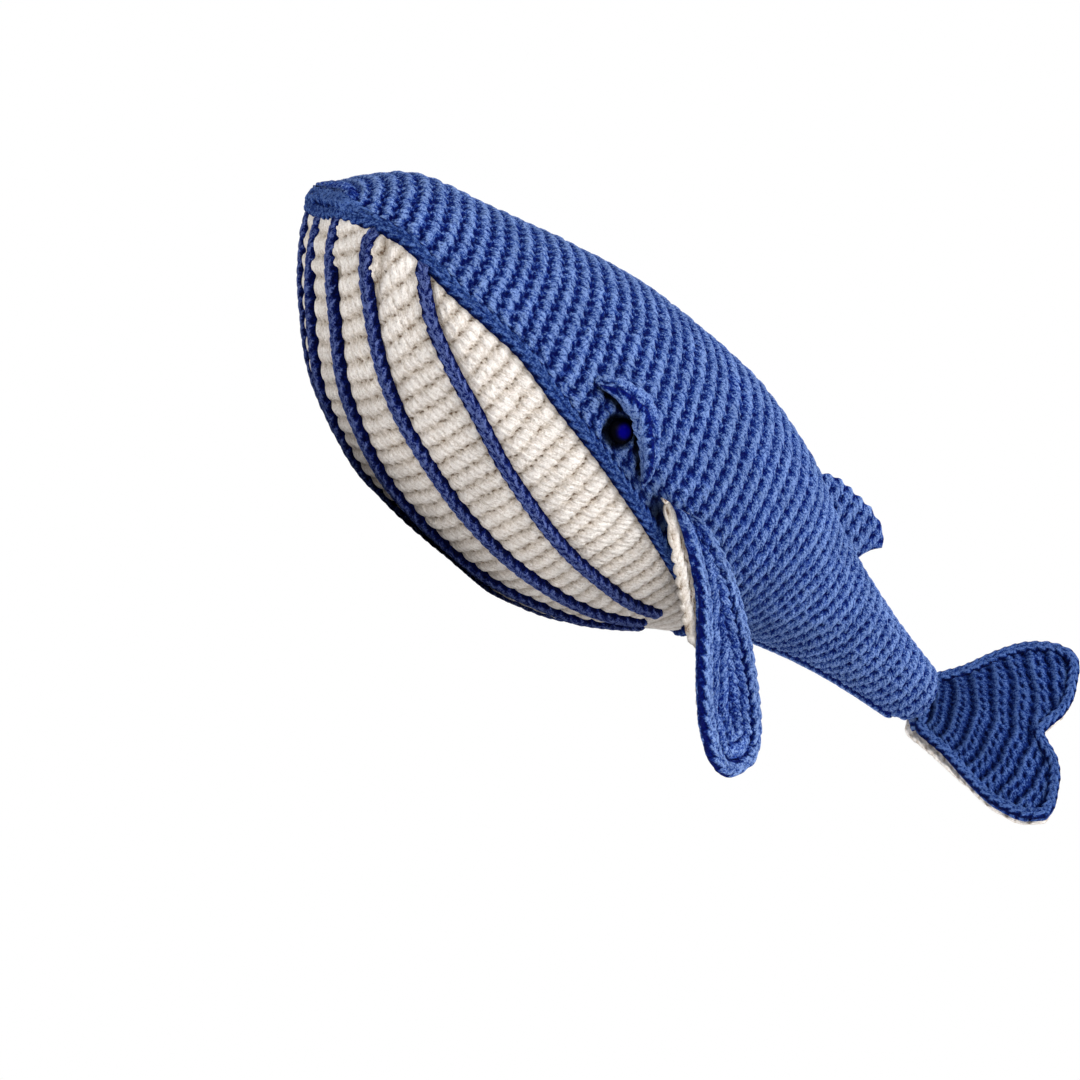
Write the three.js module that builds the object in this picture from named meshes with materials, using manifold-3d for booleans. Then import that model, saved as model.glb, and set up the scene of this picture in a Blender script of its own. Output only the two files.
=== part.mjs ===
// Crocheted plush whale: a stuffed blue back cover with a pleated cream belly and sewn-on fins.
// Millimetres, +Z up. The head points along -X and the left flank faces -Y.
// Places on the body are a station along it from the snout and an angle round it:
// 0 on the left flank, 90 degrees on the back, -90 degrees under the belly.
import * as THREE from "three";
import { mergeVertices } from "three/addons/utils/BufferGeometryUtils.js";
import Module from "manifold-3d";

const wasm = await Module();
wasm.setup();

// Body
const BODY_LENGTH = 345; // from the snout, over which the profile's shares run
const TAIL_END = 340; // station where the tail is closed
const BODY_DEPTH = 132;
const BODY_WIDTH = 129;
const NOSE_BULGE = 4;
const TAIL_BULGE = 0.6;
const FABRIC = 3.2; // thickness of the crocheted fabric
const FILLING_GAP = 1.2; // loose fit of the stuffing inside the covers
const CAVITY_NOSE = 12; // solid first rounds of the snout
const CAVITY_TAIL = 6; // solid last rounds of the tail
const SEAT_GAP = 0.35; // between pieces that lie on each other
const JOINT_GAP = 0.5; // between pieces that move against each other
const WELD = 0.001; // points closer than this are one

// How it lies: the stuffed belly flattens where the weight rests, with the tail a little up
const REST_PITCH = THREE.MathUtils.degToRad(-4);
const REST_STATION = 118;
const REST_DEPTH = 68.6; // flattened belly fabric below the body's axis

// Belly panel and its chains
const PANEL_FRONT = 1.2; // station of the panel's edge under the lip
const PANEL_CORNER = 9; // station of its two front corners
const PANEL_REAR = 222; // station of its point behind the fins
const CHAIN_WIDTH = 5;
const CHAIN_HEIGHT = 3;
const PANEL_GAP = 1; // between the panel and the back cover, under the seam chain
const SEAM_WIDTH = 5.2;
const SEAM_HEIGHT = 2.6;
const TAIL_SEAM_FRONT = 229; // the chain under the tail starts behind the panel
const TAIL_SEAM_REAR = 336;
const TAIL_SEAM_WIDTH = 4.5;
const TAIL_SEAM_HEIGHT = 2.4;

// Eyes
const EYE_STATION = 116.8;
const EYE_ANGLE = THREE.MathUtils.degToRad(6.4);
const EYE_RADIUS = 4.8;
const EYE_DOME = 3.6;
const EYE_RIM = 0.8; // thickness of the button's edge
const SHANK_RADIUS = 1.6;
const SHANK_LENGTH = 9;
const SHANK_CLEARANCE = 0.4;
const WASHER_RADIUS = 5.5;
const WASHER_THICKNESS = 1.4;
const POCKET_CLEARANCE = 0.6; // stuffing round the washer

// Eyelids
const LID_THICKNESS = 4.4;
const LID_RISE = 6.4;
const LID_REACH = 7; // how far the free rim leans over the eye
const LID_SPAN = 15; // station from the eye to the lid's rear end
const LID_ANGLE = THREE.MathUtils.degToRad(10.5);

// Pectoral fins
const FIN_LENGTH = 107;
const FIN_WIDTH = 38;
const FIN_STATION = 152;
const FIN_ANGLE = THREE.MathUtils.degToRad(-3);
const FIN_STANDOFF = 6.8; // the fin's plane above the body fabric at its root
const FIN_LINING = 2.4;
const FIN_OUTER = 3;
const FIN_RIM_WIDTH = 5.4;
const FIN_RIM_HEIGHT = 3.4;
const FIN_SWEEP = THREE.MathUtils.degToRad(37.4); // below the body's axis, towards the tail
const FIN_ROLL = THREE.MathUtils.degToRad(26); // turns the outer face up and back
const FIN_NECK = 16; // length over which it bends away from its sewn edge
const LINING_SHOW = 8; // the lining's front edge stands out past the outer panel
const LINING_END = 54; // where that edge meets the outer panel's
const LEFT_RAISE = 0; // outward from hanging
const RIGHT_RAISE = THREE.MathUtils.degToRad(40);

// Fluke
const FLUKE_LENGTH = 60.4;
const FLUKE_WIDTH = 90;
const FLUKE_TOP = 3;
const FLUKE_LINING = 2.4;
const FLUKE_RIM_WIDTH = 4.6;
const FLUKE_RIM_HEIGHT = 2.6;
const FLUKE_HEIGHT = 2; // of its sewn root above the body's axis
const FLUKE_TWIST = THREE.MathUtils.degToRad(57); // about the tail
const FLUKE_FOLD = THREE.MathUtils.degToRad(46); // about its sewn root
const FLUKE_CUP = THREE.MathUtils.degToRad(4); // each lobe rises from the middle crease
const STITCH_RADIUS = 3.3; // the roll of stitches between the tail and the fluke
const STITCH_WIDTH = 25;

// Dorsal fin
const DORSAL_STATION = 230;
const DORSAL_BASE = 42;
const DORSAL_HEIGHT = 18.5;
const DORSAL_LEAN = 7; // how far the tip stands out past the rear of the base
const DORSAL_THICKNESS = 9;
const DORSAL_FOOT = 2.4; // its thickness where it is sewn on, so that it can lean

// Numbers of steps
const BODY_SIDES = 36;
const BODY_STEPS = 27;
const CAVITY_STEPS = 20;
const PANEL_STEPS = 24;
const PANEL_COLUMNS = 20;
const FLUKE_STEPS = 20;
const TURNED_SIDES = 20;
const STEP = 0.5; // step for slopes of the skin

// Shares along the body: station, back line, belly line, half width
const profileShares = [
  [0, 0.095, 0.02, 0.202],
  [0.017, 0.155, -0.085, 0.248],
  [0.058, 0.248, -0.23, 0.326],
  [0.13, 0.302, -0.397, 0.403],
  [0.232, 0.38, -0.506, 0.465],
  [0.348, 0.442, -0.549, 0.5],
  [0.478, 0.458, -0.495, 0.465],
  [0.609, 0.408, -0.319, 0.357],
  [0.739, 0.28, -0.156, 0.233],
  [0.87, 0.192, -0.087, 0.155],
  [1, 0.136, -0.055, 0.093],
];

// Shares of the panel's side edge: station along the panel, angle above the belly's middle line
const edgeShares = [
  [0, 1.02],
  [0.06, 1.09],
  [0.17, 1.11],
  [0.27, 1.1],
  [0.4, 1.02],
  [0.55, 0.94],
  [0.7, 0.82],
  [0.82, 0.66],
  [0.93, 0.37],
  [1, 0],
];

// Shares of each pleat chain: station along the panel, place between the middle line and the side edge
const pleatShares = [
  [
    [0.0, 0],
    [0.92, 0],
  ],
  [
    [0, 0.46],
    [0.03, 0.36],
    [0.09, 0.3],
    [0.2, 0.23],
    [0.35, 0.19],
    [0.55, 0.22],
    [0.7, 0.26],
    [0.9, 0.36],
  ],
  [
    [0.012, 0.97],
    [0.04, 0.76],
    [0.08, 0.61],
    [0.15, 0.53],
    [0.27, 0.46],
    [0.45, 0.44],
    [0.68, 0.44],
    [0.78, 0.48],
    [0.87, 0.54],
  ],
  [
    [0.085, 0.98],
    [0.12, 0.9],
    [0.18, 0.81],
    [0.28, 0.74],
    [0.44, 0.69],
    [0.64, 0.66],
    [0.8, 0.68],
    [0.86, 0.72],
  ],
];

// Shares of the eyelid's sewn edge: station past the eye, angle above it
const lidShares = [
  [-1.1, 0.72],
  [-0.77, 0.92],
  [-0.06, 0.99],
  [0.53, 0.52],
  [0.98, -0.19],
  [1.14, -0.6],
];

// Shares of a pectoral fin: distance from the root, front edge, rear edge
const finShares = [
  [0, -0.1, 0.18],
  [0.1, -0.05, 0.27],
  [0.2, -0.03, 0.4],
  [0.3, -0.03, 0.49],
  [0.45, -0.13, 0.56],
  [0.6, -0.25, 0.59],
  [0.75, -0.33, 0.57],
  [0.86, -0.32, 0.53],
  [0.95, -0.21, 0.42],
  [1, 0.05, 0.2],
];

// Shares of a fluke lobe: distance out from the middle crease, leading edge, trailing edge
const flukeShares = [
  [0, 0, 0.83],
  [0.12, 0, 0.88],
  [0.28, 0, 0.96],
  [0.5, 0.19, 1],
  [0.75, 0.4, 1],
  [0.92, 0.58, 0.96],
  [1, 0.75, 0.82],
];

// Shares of the dorsal fin's crest: distance along the base, height
const dorsalShares = [
  [0, 0.12],
  [0.25, 0.62],
  [0.5, 0.86],
  [0.75, 1],
  [1, 0.93],
];

// Shares of a chain's section: across, out from the surface
const chainShares = [
  [-0.5, 0],
  [-0.42, 0.62],
  [-0.2, 1],
  [0.2, 1],
  [0.42, 0.62],
  [0.5, 0],
];

const blueYarn = { color: 0x3d589f, roughness: 0.95, metalness: 0 };
const creamYarn = { color: 0xe2d3be, roughness: 0.95, metalness: 0 };
const chainYarn = { color: 0x2c4390, roughness: 0.95, metalness: 0 };
const fibreFill = { color: 0xf4f2ec, roughness: 1, metalness: 0 };
const eyeGloss = { color: 0x0a0a8c, roughness: 0.15, metalness: 0 };
const washerPlastic = { color: 0xe8e8e4, roughness: 0.5, metalness: 0 };

const whale = new THREE.Group();

// A smooth value at x through the rows of a table, with no overshoot between them
function smooth(rows, column, x) {
  const last = rows.length - 1;
  if (x <= rows[0][0]) return rows[0][column];
  if (x >= rows[last][0]) return rows[last][column];
  let k = 0;
  while (x > rows[k + 1][0]) k += 1;
  const rise = (i) => (rows[i + 1][column] - rows[i][column]) / (rows[i + 1][0] - rows[i][0]);
  const slope = (i) => {
    if (i === 0) return rise(0);
    if (i === last) return rise(last - 1);
    const product = rise(i - 1) * rise(i);
    return product <= 0 ? 0 : (2 * product) / (rise(i - 1) + rise(i));
  };
  const width = rows[k + 1][0] - rows[k][0];
  const t = (x - rows[k][0]) / width;
  const ease = t * t * (3 - 2 * t);
  return (
    rows[k][column] * (1 - ease) +
    rows[k + 1][column] * ease +
    slope(k) * width * t * (1 - t) * (1 - t) -
    slope(k + 1) * width * t * t * (1 - t)
  );
}

// The line of the floor under the flattened belly, in the body's own frame
function floorLine(station) {
  return (station - REST_STATION) * Math.tan(REST_PITCH) - REST_DEPTH;
}

// A point of the body's outer surface
function skin(station, angle) {
  const share = station / BODY_LENGTH;
  const top = smooth(profileShares, 1, share) * BODY_DEPTH;
  const bottom = smooth(profileShares, 2, share) * BODY_DEPTH;
  const half = smooth(profileShares, 3, share) * BODY_WIDTH;
  const height = (top + bottom) / 2 + ((top - bottom) / 2) * Math.sin(angle);
  return new THREE.Vector3(station, -half * Math.cos(angle), Math.max(height, floorLine(station)));
}

function outward(station, angle) {
  const turn = STEP / BODY_WIDTH;
  const along = skin(station + STEP, angle).sub(skin(station - STEP, angle));
  const around = skin(station, angle + turn).sub(skin(station, angle - turn));
  return along.cross(around).normalize();
}

function onBody(station, angle, offset) {
  return skin(station, angle).addScaledVector(outward(station, angle), offset);
}

// The angle of the panel's side edge at a station
function edgeAngle(station) {
  const share = (station - PANEL_CORNER) / (PANEL_REAR - PANEL_CORNER);
  return smooth(edgeShares, 1, Math.max(share, 0)) * (Math.PI / 2) - Math.PI / 2;
}

// The angle at a place between the middle line (0) and the left (1) or right (-1) side edge
function panelAngle(station, place) {
  const reach = edgeAngle(station) + Math.PI / 2;
  return -Math.PI / 2 + place * reach;
}

// A closed surface from points and faces, facing out
function closedGeometry(points, faces) {
  const loose = new THREE.BufferGeometry().setFromPoints(points).setIndex(faces.flat());
  const geometry = mergeVertices(loose, WELD);
  const index = geometry.index.array;
  const kept = [];
  for (let i = 0; i < index.length; i += 3) {
    const [a, b, c] = [index[i], index[i + 1], index[i + 2]];
    if (a !== b && b !== c && c !== a) kept.push([a, b, c]);
  }
  const corner = (i) => new THREE.Vector3().fromBufferAttribute(geometry.attributes.position, i);
  let volume = 0;
  for (const [a, b, c] of kept) volume += corner(a).dot(corner(b).cross(corner(c)));
  const facing = volume < 0 ? kept.map(([a, b, c]) => [a, c, b]) : kept;
  return geometry.setIndex(facing.flat());
}

// A solid through rings of points, each end closed by a fan to its tip
function loft(rings, firstTip, lastTip) {
  const count = rings[0].length;
  const points = [...rings.flat(), firstTip, lastTip];
  const faces = [];
  for (let i = 0; i < count; i += 1) {
    const next = (i + 1) % count;
    const end = (rings.length - 1) * count;
    faces.push([rings.length * count, next, i]);
    faces.push([rings.length * count + 1, end + i, end + next]);
    for (let j = 0; j + 1 < rings.length; j += 1) {
      const [a, b] = [j * count + i, j * count + next];
      faces.push([a, b, b + count], [a, b + count, a + count]);
    }
  }
  return closedGeometry(points, faces);
}

// A sheet with two faces and a rim: at(s, t, side) gives a point for shares s and t, side 0 or 1
function sheet(rows, columns, at) {
  const points = [];
  for (let side = 0; side < 2; side += 1)
    for (let j = 0; j <= rows; j += 1)
      for (let i = 0; i <= columns; i += 1) points.push(at(j / rows, i / columns, side));
  const layer = (rows + 1) * (columns + 1);
  const id = (side, j, i) => side * layer + j * (columns + 1) + i;
  const faces = [];
  const quad = (a, b, c, d) => faces.push([a, b, c], [a, c, d]);
  for (let j = 0; j < rows; j += 1)
    for (let i = 0; i < columns; i += 1) {
      quad(id(0, j, i), id(0, j, i + 1), id(0, j + 1, i + 1), id(0, j + 1, i));
      quad(id(1, j, i), id(1, j + 1, i), id(1, j + 1, i + 1), id(1, j, i + 1));
    }
  for (let j = 0; j < rows; j += 1) {
    quad(id(0, j, 0), id(0, j + 1, 0), id(1, j + 1, 0), id(1, j, 0));
    quad(id(0, j + 1, columns), id(0, j, columns), id(1, j, columns), id(1, j + 1, columns));
  }
  for (let i = 0; i < columns; i += 1) {
    quad(id(0, 0, i + 1), id(0, 0, i), id(1, 0, i), id(1, 0, i + 1));
    quad(id(0, rows, i), id(0, rows, i + 1), id(1, rows, i + 1), id(1, rows, i));
  }
  return closedGeometry(points, faces);
}

// A crocheted chain lying on a surface: feet on it, each with its outward direction
function chain(feet, outs, width, height, closed) {
  const count = chainShares.length;
  const points = [];
  feet.forEach((foot, j) => {
    const ahead = feet[closed ? (j + 1) % feet.length : Math.min(j + 1, feet.length - 1)];
    const behind = feet[closed ? (j + feet.length - 1) % feet.length : Math.max(j - 1, 0)];
    const side = ahead.clone().sub(behind).cross(outs[j]).normalize();
    for (const [across, out] of chainShares)
      points.push(
        foot
          .clone()
          .addScaledVector(side, across * width)
          .addScaledVector(outs[j], out * height),
      );
  });
  const faces = [];
  const rings = closed ? feet.length : feet.length - 1;
  for (let j = 0; j < rings; j += 1) {
    const [near, far] = [j * count, ((j + 1) % feet.length) * count];
    for (let i = 0; i < count; i += 1) {
      const next = (i + 1) % count;
      faces.push([near + i, near + next, far + next], [near + i, far + next, far + i]);
    }
  }
  if (!closed) {
    const end = (feet.length - 1) * count;
    for (let i = 1; i + 1 < count; i += 1) {
      faces.push([0, i + 1, i]);
      faces.push([end, end + i, end + i + 1]);
    }
  }
  return closedGeometry(points, faces);
}

function solid(geometry) {
  const bare = geometry.clone();
  bare.deleteAttribute("normal");
  bare.deleteAttribute("uv");
  const merged = mergeVertices(bare, WELD);
  return new wasm.Manifold(
    new wasm.Mesh({
      numProp: 3,
      vertProperties: merged.attributes.position.array,
      triVerts: new Uint32Array(merged.index.array),
    }),
  );
}

function geometryOf(manifold) {
  const mesh = manifold.getMesh();
  const geometry = new THREE.BufferGeometry();
  geometry.setAttribute("position", new THREE.BufferAttribute(mesh.vertProperties, 3));
  geometry.setIndex(new THREE.BufferAttribute(mesh.triVerts, 1));
  return geometry;
}

function addPiece(name, geometry, yarn, parent = whale) {
  geometry.computeVertexNormals();
  const mesh = new THREE.Mesh(geometry, new THREE.MeshStandardMaterial(yarn));
  mesh.name = name;
  parent.add(mesh);
  return mesh;
}

// The same piece on the other flank
function mirrored(geometry) {
  const other = geometry.clone().applyMatrix4(new THREE.Matrix4().makeScale(1, -1, 1));
  const index = other.index.array;
  for (let i = 0; i < index.length; i += 3) [index[i], index[i + 1]] = [index[i + 1], index[i]];
  return other;
}

// A stuffed body of the whale's shape, from one station to another, drawn in by an inset
function bodyForm(first, last, inset, steps, bulges) {
  const rings = [];
  for (let j = 0; j <= steps; j += 1) {
    const station = first + (last - first) * Math.pow(j / steps, 1.4);
    const ring = [];
    for (let i = 0; i < BODY_SIDES; i += 1)
      ring.push(onBody(station, (i / BODY_SIDES) * 2 * Math.PI, -inset));
    rings.push(ring);
  }
  const middle = (ring) =>
    ring.reduce((sum, p) => sum.add(p), new THREE.Vector3()).divideScalar(ring.length);
  const nose = middle(rings[0]).add(new THREE.Vector3(-bulges[0], 0, 0));
  const tail = middle(rings[steps]).add(new THREE.Vector3(bulges[1], 0, 0));
  return loft(rings, nose, tail);
}

// The cream panel's region as a sheet between two depths, its edges moved out by a margin
function panelSheet(outer, inner, margin) {
  return sheet(PANEL_STEPS, PANEL_COLUMNS, (s, t, side) => {
    const place = 2 * t - 1;
    const front = PANEL_FRONT + (PANEL_CORNER - PANEL_FRONT) * place * place;
    const station = front + (PANEL_REAR - front) * s;
    const reach = edgeAngle(station) + Math.PI / 2 + margin / (BODY_WIDTH / 2);
    const shifted = station + margin * Math.pow(2 * s - 1, 5);
    return onBody(shifted, place * reach - Math.PI / 2, side ? inner : outer);
  });
}

const OPENING_DEPTH = 2 * FABRIC; // how far the cutter for the panel's opening reaches each way

// Covers and stuffing
const bodyOutside = solid(bodyForm(0, TAIL_END, 0, BODY_STEPS, [NOSE_BULGE, TAIL_BULGE]));
const bodyCavity = solid(
  bodyForm(CAVITY_NOSE, TAIL_END - CAVITY_TAIL, FABRIC, CAVITY_STEPS, [0, 0]),
);
const panelOpening = solid(panelSheet(OPENING_DEPTH, -OPENING_DEPTH, PANEL_GAP));
const belly = panelSheet(0, -FABRIC, 0);

// Eye buttons stand on the cover with their shanks through it; both share one axis
const eyeSeat = onBody(EYE_STATION, EYE_ANGLE, 0);
const eyeAxis = outward(EYE_STATION, EYE_ANGLE);
const onEyeAxis = new THREE.Matrix4().compose(
  eyeSeat,
  new THREE.Quaternion().setFromUnitVectors(new THREE.Vector3(0, 1, 0), eyeAxis),
  new THREE.Vector3(1, 1, 1),
);

// A round piece turned about the eye's axis, from radius and height points that start and end on it
function turned(profile) {
  const outline = profile.map(([radius, height]) => new THREE.Vector2(radius, height));
  return new THREE.LatheGeometry(outline, TURNED_SIDES).applyMatrix4(onEyeAxis);
}

function eyeButton() {
  const profile = [
    [0, -SHANK_LENGTH],
    [SHANK_RADIUS, -SHANK_LENGTH],
    [SHANK_RADIUS, SEAT_GAP],
    [EYE_RADIUS, SEAT_GAP],
  ];
  for (let k = 0; k <= 5; k += 1) {
    const a = (k / 5) * (Math.PI / 2);
    const dome = EYE_DOME - EYE_RIM;
    profile.push([EYE_RADIUS * Math.cos(a), SEAT_GAP + EYE_RIM + dome * Math.sin(a)]);
  }
  profile[profile.length - 1][0] = 0;
  return turned(profile);
}

function eyeWasher() {
  const face = -FABRIC - FILLING_GAP;
  const bore = SHANK_RADIUS + SHANK_CLEARANCE;
  const profile = [
    [bore, face - WASHER_THICKNESS],
    [WASHER_RADIUS, face - WASHER_THICKNESS],
    [WASHER_RADIUS, face],
    [bore, face],
    [bore, face - WASHER_THICKNESS],
  ];
  return turned(profile);
}

// The space that the shank and washer take in the stuffing
function eyePocket() {
  const depth = -SHANK_LENGTH - POCKET_CLEARANCE;
  const radius = WASHER_RADIUS + POCKET_CLEARANCE;
  return turned([
    [0, depth],
    [radius, depth],
    [radius, EYE_DOME],
    [0, EYE_DOME],
  ]);
}

function shankHole() {
  const radius = SHANK_RADIUS + SHANK_CLEARANCE;
  return turned([
    [0, -SHANK_LENGTH],
    [radius, -SHANK_LENGTH],
    [radius, EYE_DOME],
    [0, EYE_DOME],
  ]);
}

const backCover = bodyOutside
  .subtract(bodyCavity)
  .subtract(panelOpening)
  .subtract(solid(shankHole()))
  .subtract(solid(mirrored(shankHole())));
const filling = solid(
  bodyForm(
    CAVITY_NOSE + FILLING_GAP,
    TAIL_END - CAVITY_TAIL - FILLING_GAP,
    FABRIC + FILLING_GAP,
    CAVITY_STEPS,
    [0, 0],
  ),
)
  .subtract(solid(eyePocket()))
  .subtract(solid(mirrored(eyePocket())));

addPiece("back_cover", geometryOf(backCover), blueYarn);
addPiece("belly_panel", belly, creamYarn);
addPiece("body_stuffing", geometryOf(filling), fibreFill);

// The mouth seam: one closed chain over the joint between the covers
function seamChain(extra) {
  const feet = [];
  const outs = [];
  const frontSteps = 14;
  const sideSteps = 34;
  const lay = (station, angle) => {
    feet.push(onBody(station, angle, SEAT_GAP - extra));
    outs.push(outward(station, angle));
  };
  const front = (place) => PANEL_FRONT + (PANEL_CORNER - PANEL_FRONT) * place * place;
  for (let k = 0; k <= frontSteps; k += 1) {
    const place = (k / frontSteps) * 2 - 1;
    lay(front(place), panelAngle(front(place), place));
  }
  for (const sideways of [1, -1])
    for (let k = 1; k < sideSteps; k += 1) {
      const share = sideways > 0 ? k / sideSteps : 1 - k / sideSteps;
      const station = PANEL_CORNER + (PANEL_REAR - PANEL_CORNER) * Math.sin((share * Math.PI) / 2);
      lay(station, panelAngle(station, sideways));
    }
  const grown = 2 * extra;
  return solid(chain(feet, outs, SEAM_WIDTH + grown, SEAM_HEIGHT + grown, true));
}

// The largest of the bodies that a cut leaves
function largest(manifold) {
  return manifold.decompose().reduce((a, b) => (b.volume() > a.volume() ? b : a));
}

const aroundBody = solid(
  bodyForm(0, TAIL_END, -SEAT_GAP, BODY_STEPS, [NOSE_BULGE + SEAT_GAP, TAIL_BULGE + SEAT_GAP]),
);
addPiece("mouth_seam_chain", geometryOf(largest(seamChain(0).subtract(aroundBody))), chainYarn);

// The pleats: seven chains that fan over the belly from the lip
const seamRoom = seamChain(SEAT_GAP);
const pleatNames = ["centre", "inner", "middle", "outer"];
function pleatChain(rows) {
  const steps = 26;
  const feet = [];
  const outs = [];
  const first = rows[0][0];
  const last = rows[rows.length - 1][0];
  for (let k = 0; k <= steps; k += 1) {
    const share = first + (last - first) * Math.pow(k / steps, 1.3);
    const place = smooth(rows, 1, share);
    const station = PANEL_CORNER + (PANEL_REAR - PANEL_CORNER) * share;
    const drawn = station - (PANEL_CORNER - PANEL_FRONT) * (1 - place * place) * (1 - share);
    feet.push(onBody(drawn, panelAngle(drawn, place), SEAT_GAP));
    outs.push(outward(drawn, panelAngle(drawn, place)));
  }
  return chain(feet, outs, CHAIN_WIDTH, CHAIN_HEIGHT, false);
}
pleatShares.forEach((rows, k) => {
  const geometry = geometryOf(largest(solid(pleatChain(rows)).subtract(seamRoom)));
  if (k === 0) {
    addPiece("pleat_chain_centre", geometry, chainYarn);
    return;
  }
  addPiece("pleat_chain_left_" + pleatNames[k], geometry, chainYarn);
  addPiece("pleat_chain_right_" + pleatNames[k], mirrored(geometry), chainYarn);
});

// The chain that closes the cover under the tail
function tailSeam() {
  const steps = 16;
  const feet = [];
  const outs = [];
  for (let k = 0; k <= steps; k += 1) {
    const station = TAIL_SEAM_FRONT + ((TAIL_SEAM_REAR - TAIL_SEAM_FRONT) * k) / steps;
    feet.push(onBody(station, -Math.PI / 2, SEAT_GAP));
    outs.push(outward(station, -Math.PI / 2));
  }
  return chain(feet, outs, TAIL_SEAM_WIDTH, TAIL_SEAM_HEIGHT, false);
}
addPiece("under_tail_seam", tailSeam(), blueYarn);

// Eyes
const eye = eyeButton();
const washer = eyeWasher();
addPiece("left_eye", eye, eyeGloss);
addPiece("right_eye", mirrored(eye), eyeGloss);
addPiece("left_eye_washer", washer, washerPlastic);
addPiece("right_eye_washer", mirrored(washer), washerPlastic);

// Eyelids: a thick crescent flap that stands up from its sewn edge and leans over the eye
function eyelid() {
  return sheet(12, 4, (s, t, side) => {
    const reach = lidShares.length - 1;
    const rows = lidShares.map(([station, angle], k) => [k / reach, station, angle]);
    const station = EYE_STATION + smooth(rows, 1, s) * LID_SPAN;
    const angle = EYE_ANGLE + smooth(rows, 2, s) * LID_ANGLE;
    const out = outward(station, angle);
    const foot = onBody(station, angle, JOINT_GAP);
    const inward = eyeSeat.clone().sub(foot);
    inward.addScaledVector(out, -inward.dot(out)).normalize();
    const swell = Math.pow(Math.sin(Math.PI * Math.min(Math.max(s, 0.03), 0.97)), 0.7);
    const arch = Math.sin((t * Math.PI) / 2);
    const curl = 1 - Math.cos((t * Math.PI) / 2);
    return foot
      .addScaledVector(out, arch * LID_RISE * swell)
      .addScaledVector(inward, curl * LID_REACH * swell)
      .addScaledVector(inward, side ? -LID_THICKNESS * (0.4 + 0.6 * swell) : 0);
  });
}
const lid = eyelid();
addPiece("left_eyelid", lid, blueYarn);
addPiece("right_eyelid", mirrored(lid), blueYarn);

// Pectoral fins: along the fin, across it from front to rear, and out of its outer face
const finOrigin = onBody(FIN_STATION, FIN_ANGLE, FIN_STANDOFF);
const finLine = new THREE.Vector3(Math.cos(FIN_SWEEP), 0, -Math.sin(FIN_SWEEP));
const finSide = new THREE.Vector3(0, -1, 0).applyAxisAngle(finLine, -FIN_ROLL);
const finAcross = new THREE.Vector3().crossVectors(finSide, finLine);
const finStack = FIN_LINING + SEAT_GAP + FIN_OUTER; // the height of the two sewn layers

// A point of the fin: distances along it and across it, height above the lining's inner face
function onFin(along, across, height) {
  const flat = finOrigin
    .clone()
    .addScaledVector(finLine, along)
    .addScaledVector(finAcross, across)
    .addScaledVector(finSide, height - finStack / 2);
  const seat = onBody(FIN_STATION + across, FIN_ANGLE, JOINT_GAP + height);
  const t = Math.min(along / FIN_NECK, 1);
  return seat.lerp(flat, t * t * (3 - 2 * t));
}

function finEdges(along) {
  const share = along / FIN_LENGTH;
  return [smooth(finShares, 1, share) * FIN_WIDTH, smooth(finShares, 2, share) * FIN_WIDTH];
}

// How far the lining stands out in front of the outer panel
function liningShow(along) {
  const fade = Math.sqrt(Math.max(1 - along / LINING_END, 0));
  return LINING_SHOW * fade * Math.min(along / (FIN_NECK / 2), 1);
}

function finPanel(low, high, show) {
  return sheet(16, 6, (s, t, side) => {
    const along = FIN_LENGTH * Math.sin((s * Math.PI) / 2);
    const [front, rear] = finEdges(along);
    const start = front - show(along);
    return onFin(along, start + (rear - start) * t, side ? high : low);
  });
}

function finRim() {
  const feet = [];
  const outs = [];
  const steps = 18;
  const inset = FIN_RIM_WIDTH / 2;
  const base = finStack + SEAT_GAP;
  const lay = (k, side) => {
    const reach = FIN_LENGTH - inset - FIN_NECK;
    const along = FIN_NECK + reach * Math.sin(((k / steps) * Math.PI) / 2);
    const [front, rear] = finEdges(along);
    const half = Math.max((rear - front) / 2 - inset, 0);
    const across = (front + rear) / 2 + side * half;
    const foot = onFin(along, across, base);
    feet.push(foot);
    outs.push(onFin(along, across, base + FABRIC).sub(foot).normalize());
  };
  for (let k = 0; k <= steps; k += 1) lay(k, -1);
  for (let k = steps; k >= 0; k -= 1) lay(k, 1);
  return chain(feet, outs, FIN_RIM_WIDTH, FIN_RIM_HEIGHT, false);
}

// Each fin turns about its sewn edge
const finHinge = onBody(FIN_STATION, FIN_ANGLE, JOINT_GAP);
const sewnLine = onBody(FIN_STATION + FIN_NECK / 2, FIN_ANGLE, JOINT_GAP).sub(finHinge).normalize();
const finPieces = [
  ["_fin_lining", finPanel(0, FIN_LINING, liningShow), creamYarn],
  ["_fin_outer", finPanel(FIN_LINING + SEAT_GAP, finStack, () => 0), blueYarn],
  ["_fin_rim", finRim(), blueYarn],
];
for (const side of ["left", "right"]) {
  const pivot = new THREE.Group();
  const left = side === "left";
  const across = left ? 1 : -1;
  const axis = new THREE.Vector3(sewnLine.x, sewnLine.y * across, sewnLine.z);
  pivot.position.set(finHinge.x, finHinge.y * across, finHinge.z);
  pivot.quaternion.setFromAxisAngle(axis, left ? -LEFT_RAISE : RIGHT_RAISE);
  whale.add(pivot);
  for (const [name, geometry, yarn] of finPieces) {
    const hung = geometry.clone().translate(-finHinge.x, -finHinge.y, -finHinge.z);
    addPiece(side + name, left ? hung : mirrored(hung), yarn, pivot);
  }
}

// Fluke. Its own frame: x from the sewn root to the notch, y along the span, z out of its upper face
const fluke = new THREE.Group();
fluke.position.set(TAIL_END + TAIL_BULGE + JOINT_GAP + STITCH_RADIUS, 0, FLUKE_HEIGHT);
fluke.rotation.set(FLUKE_TWIST, -FLUKE_FOLD, 0);
whale.add(fluke);
const flukeStack = FLUKE_LINING + SEAT_GAP + FLUKE_TOP;

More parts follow.
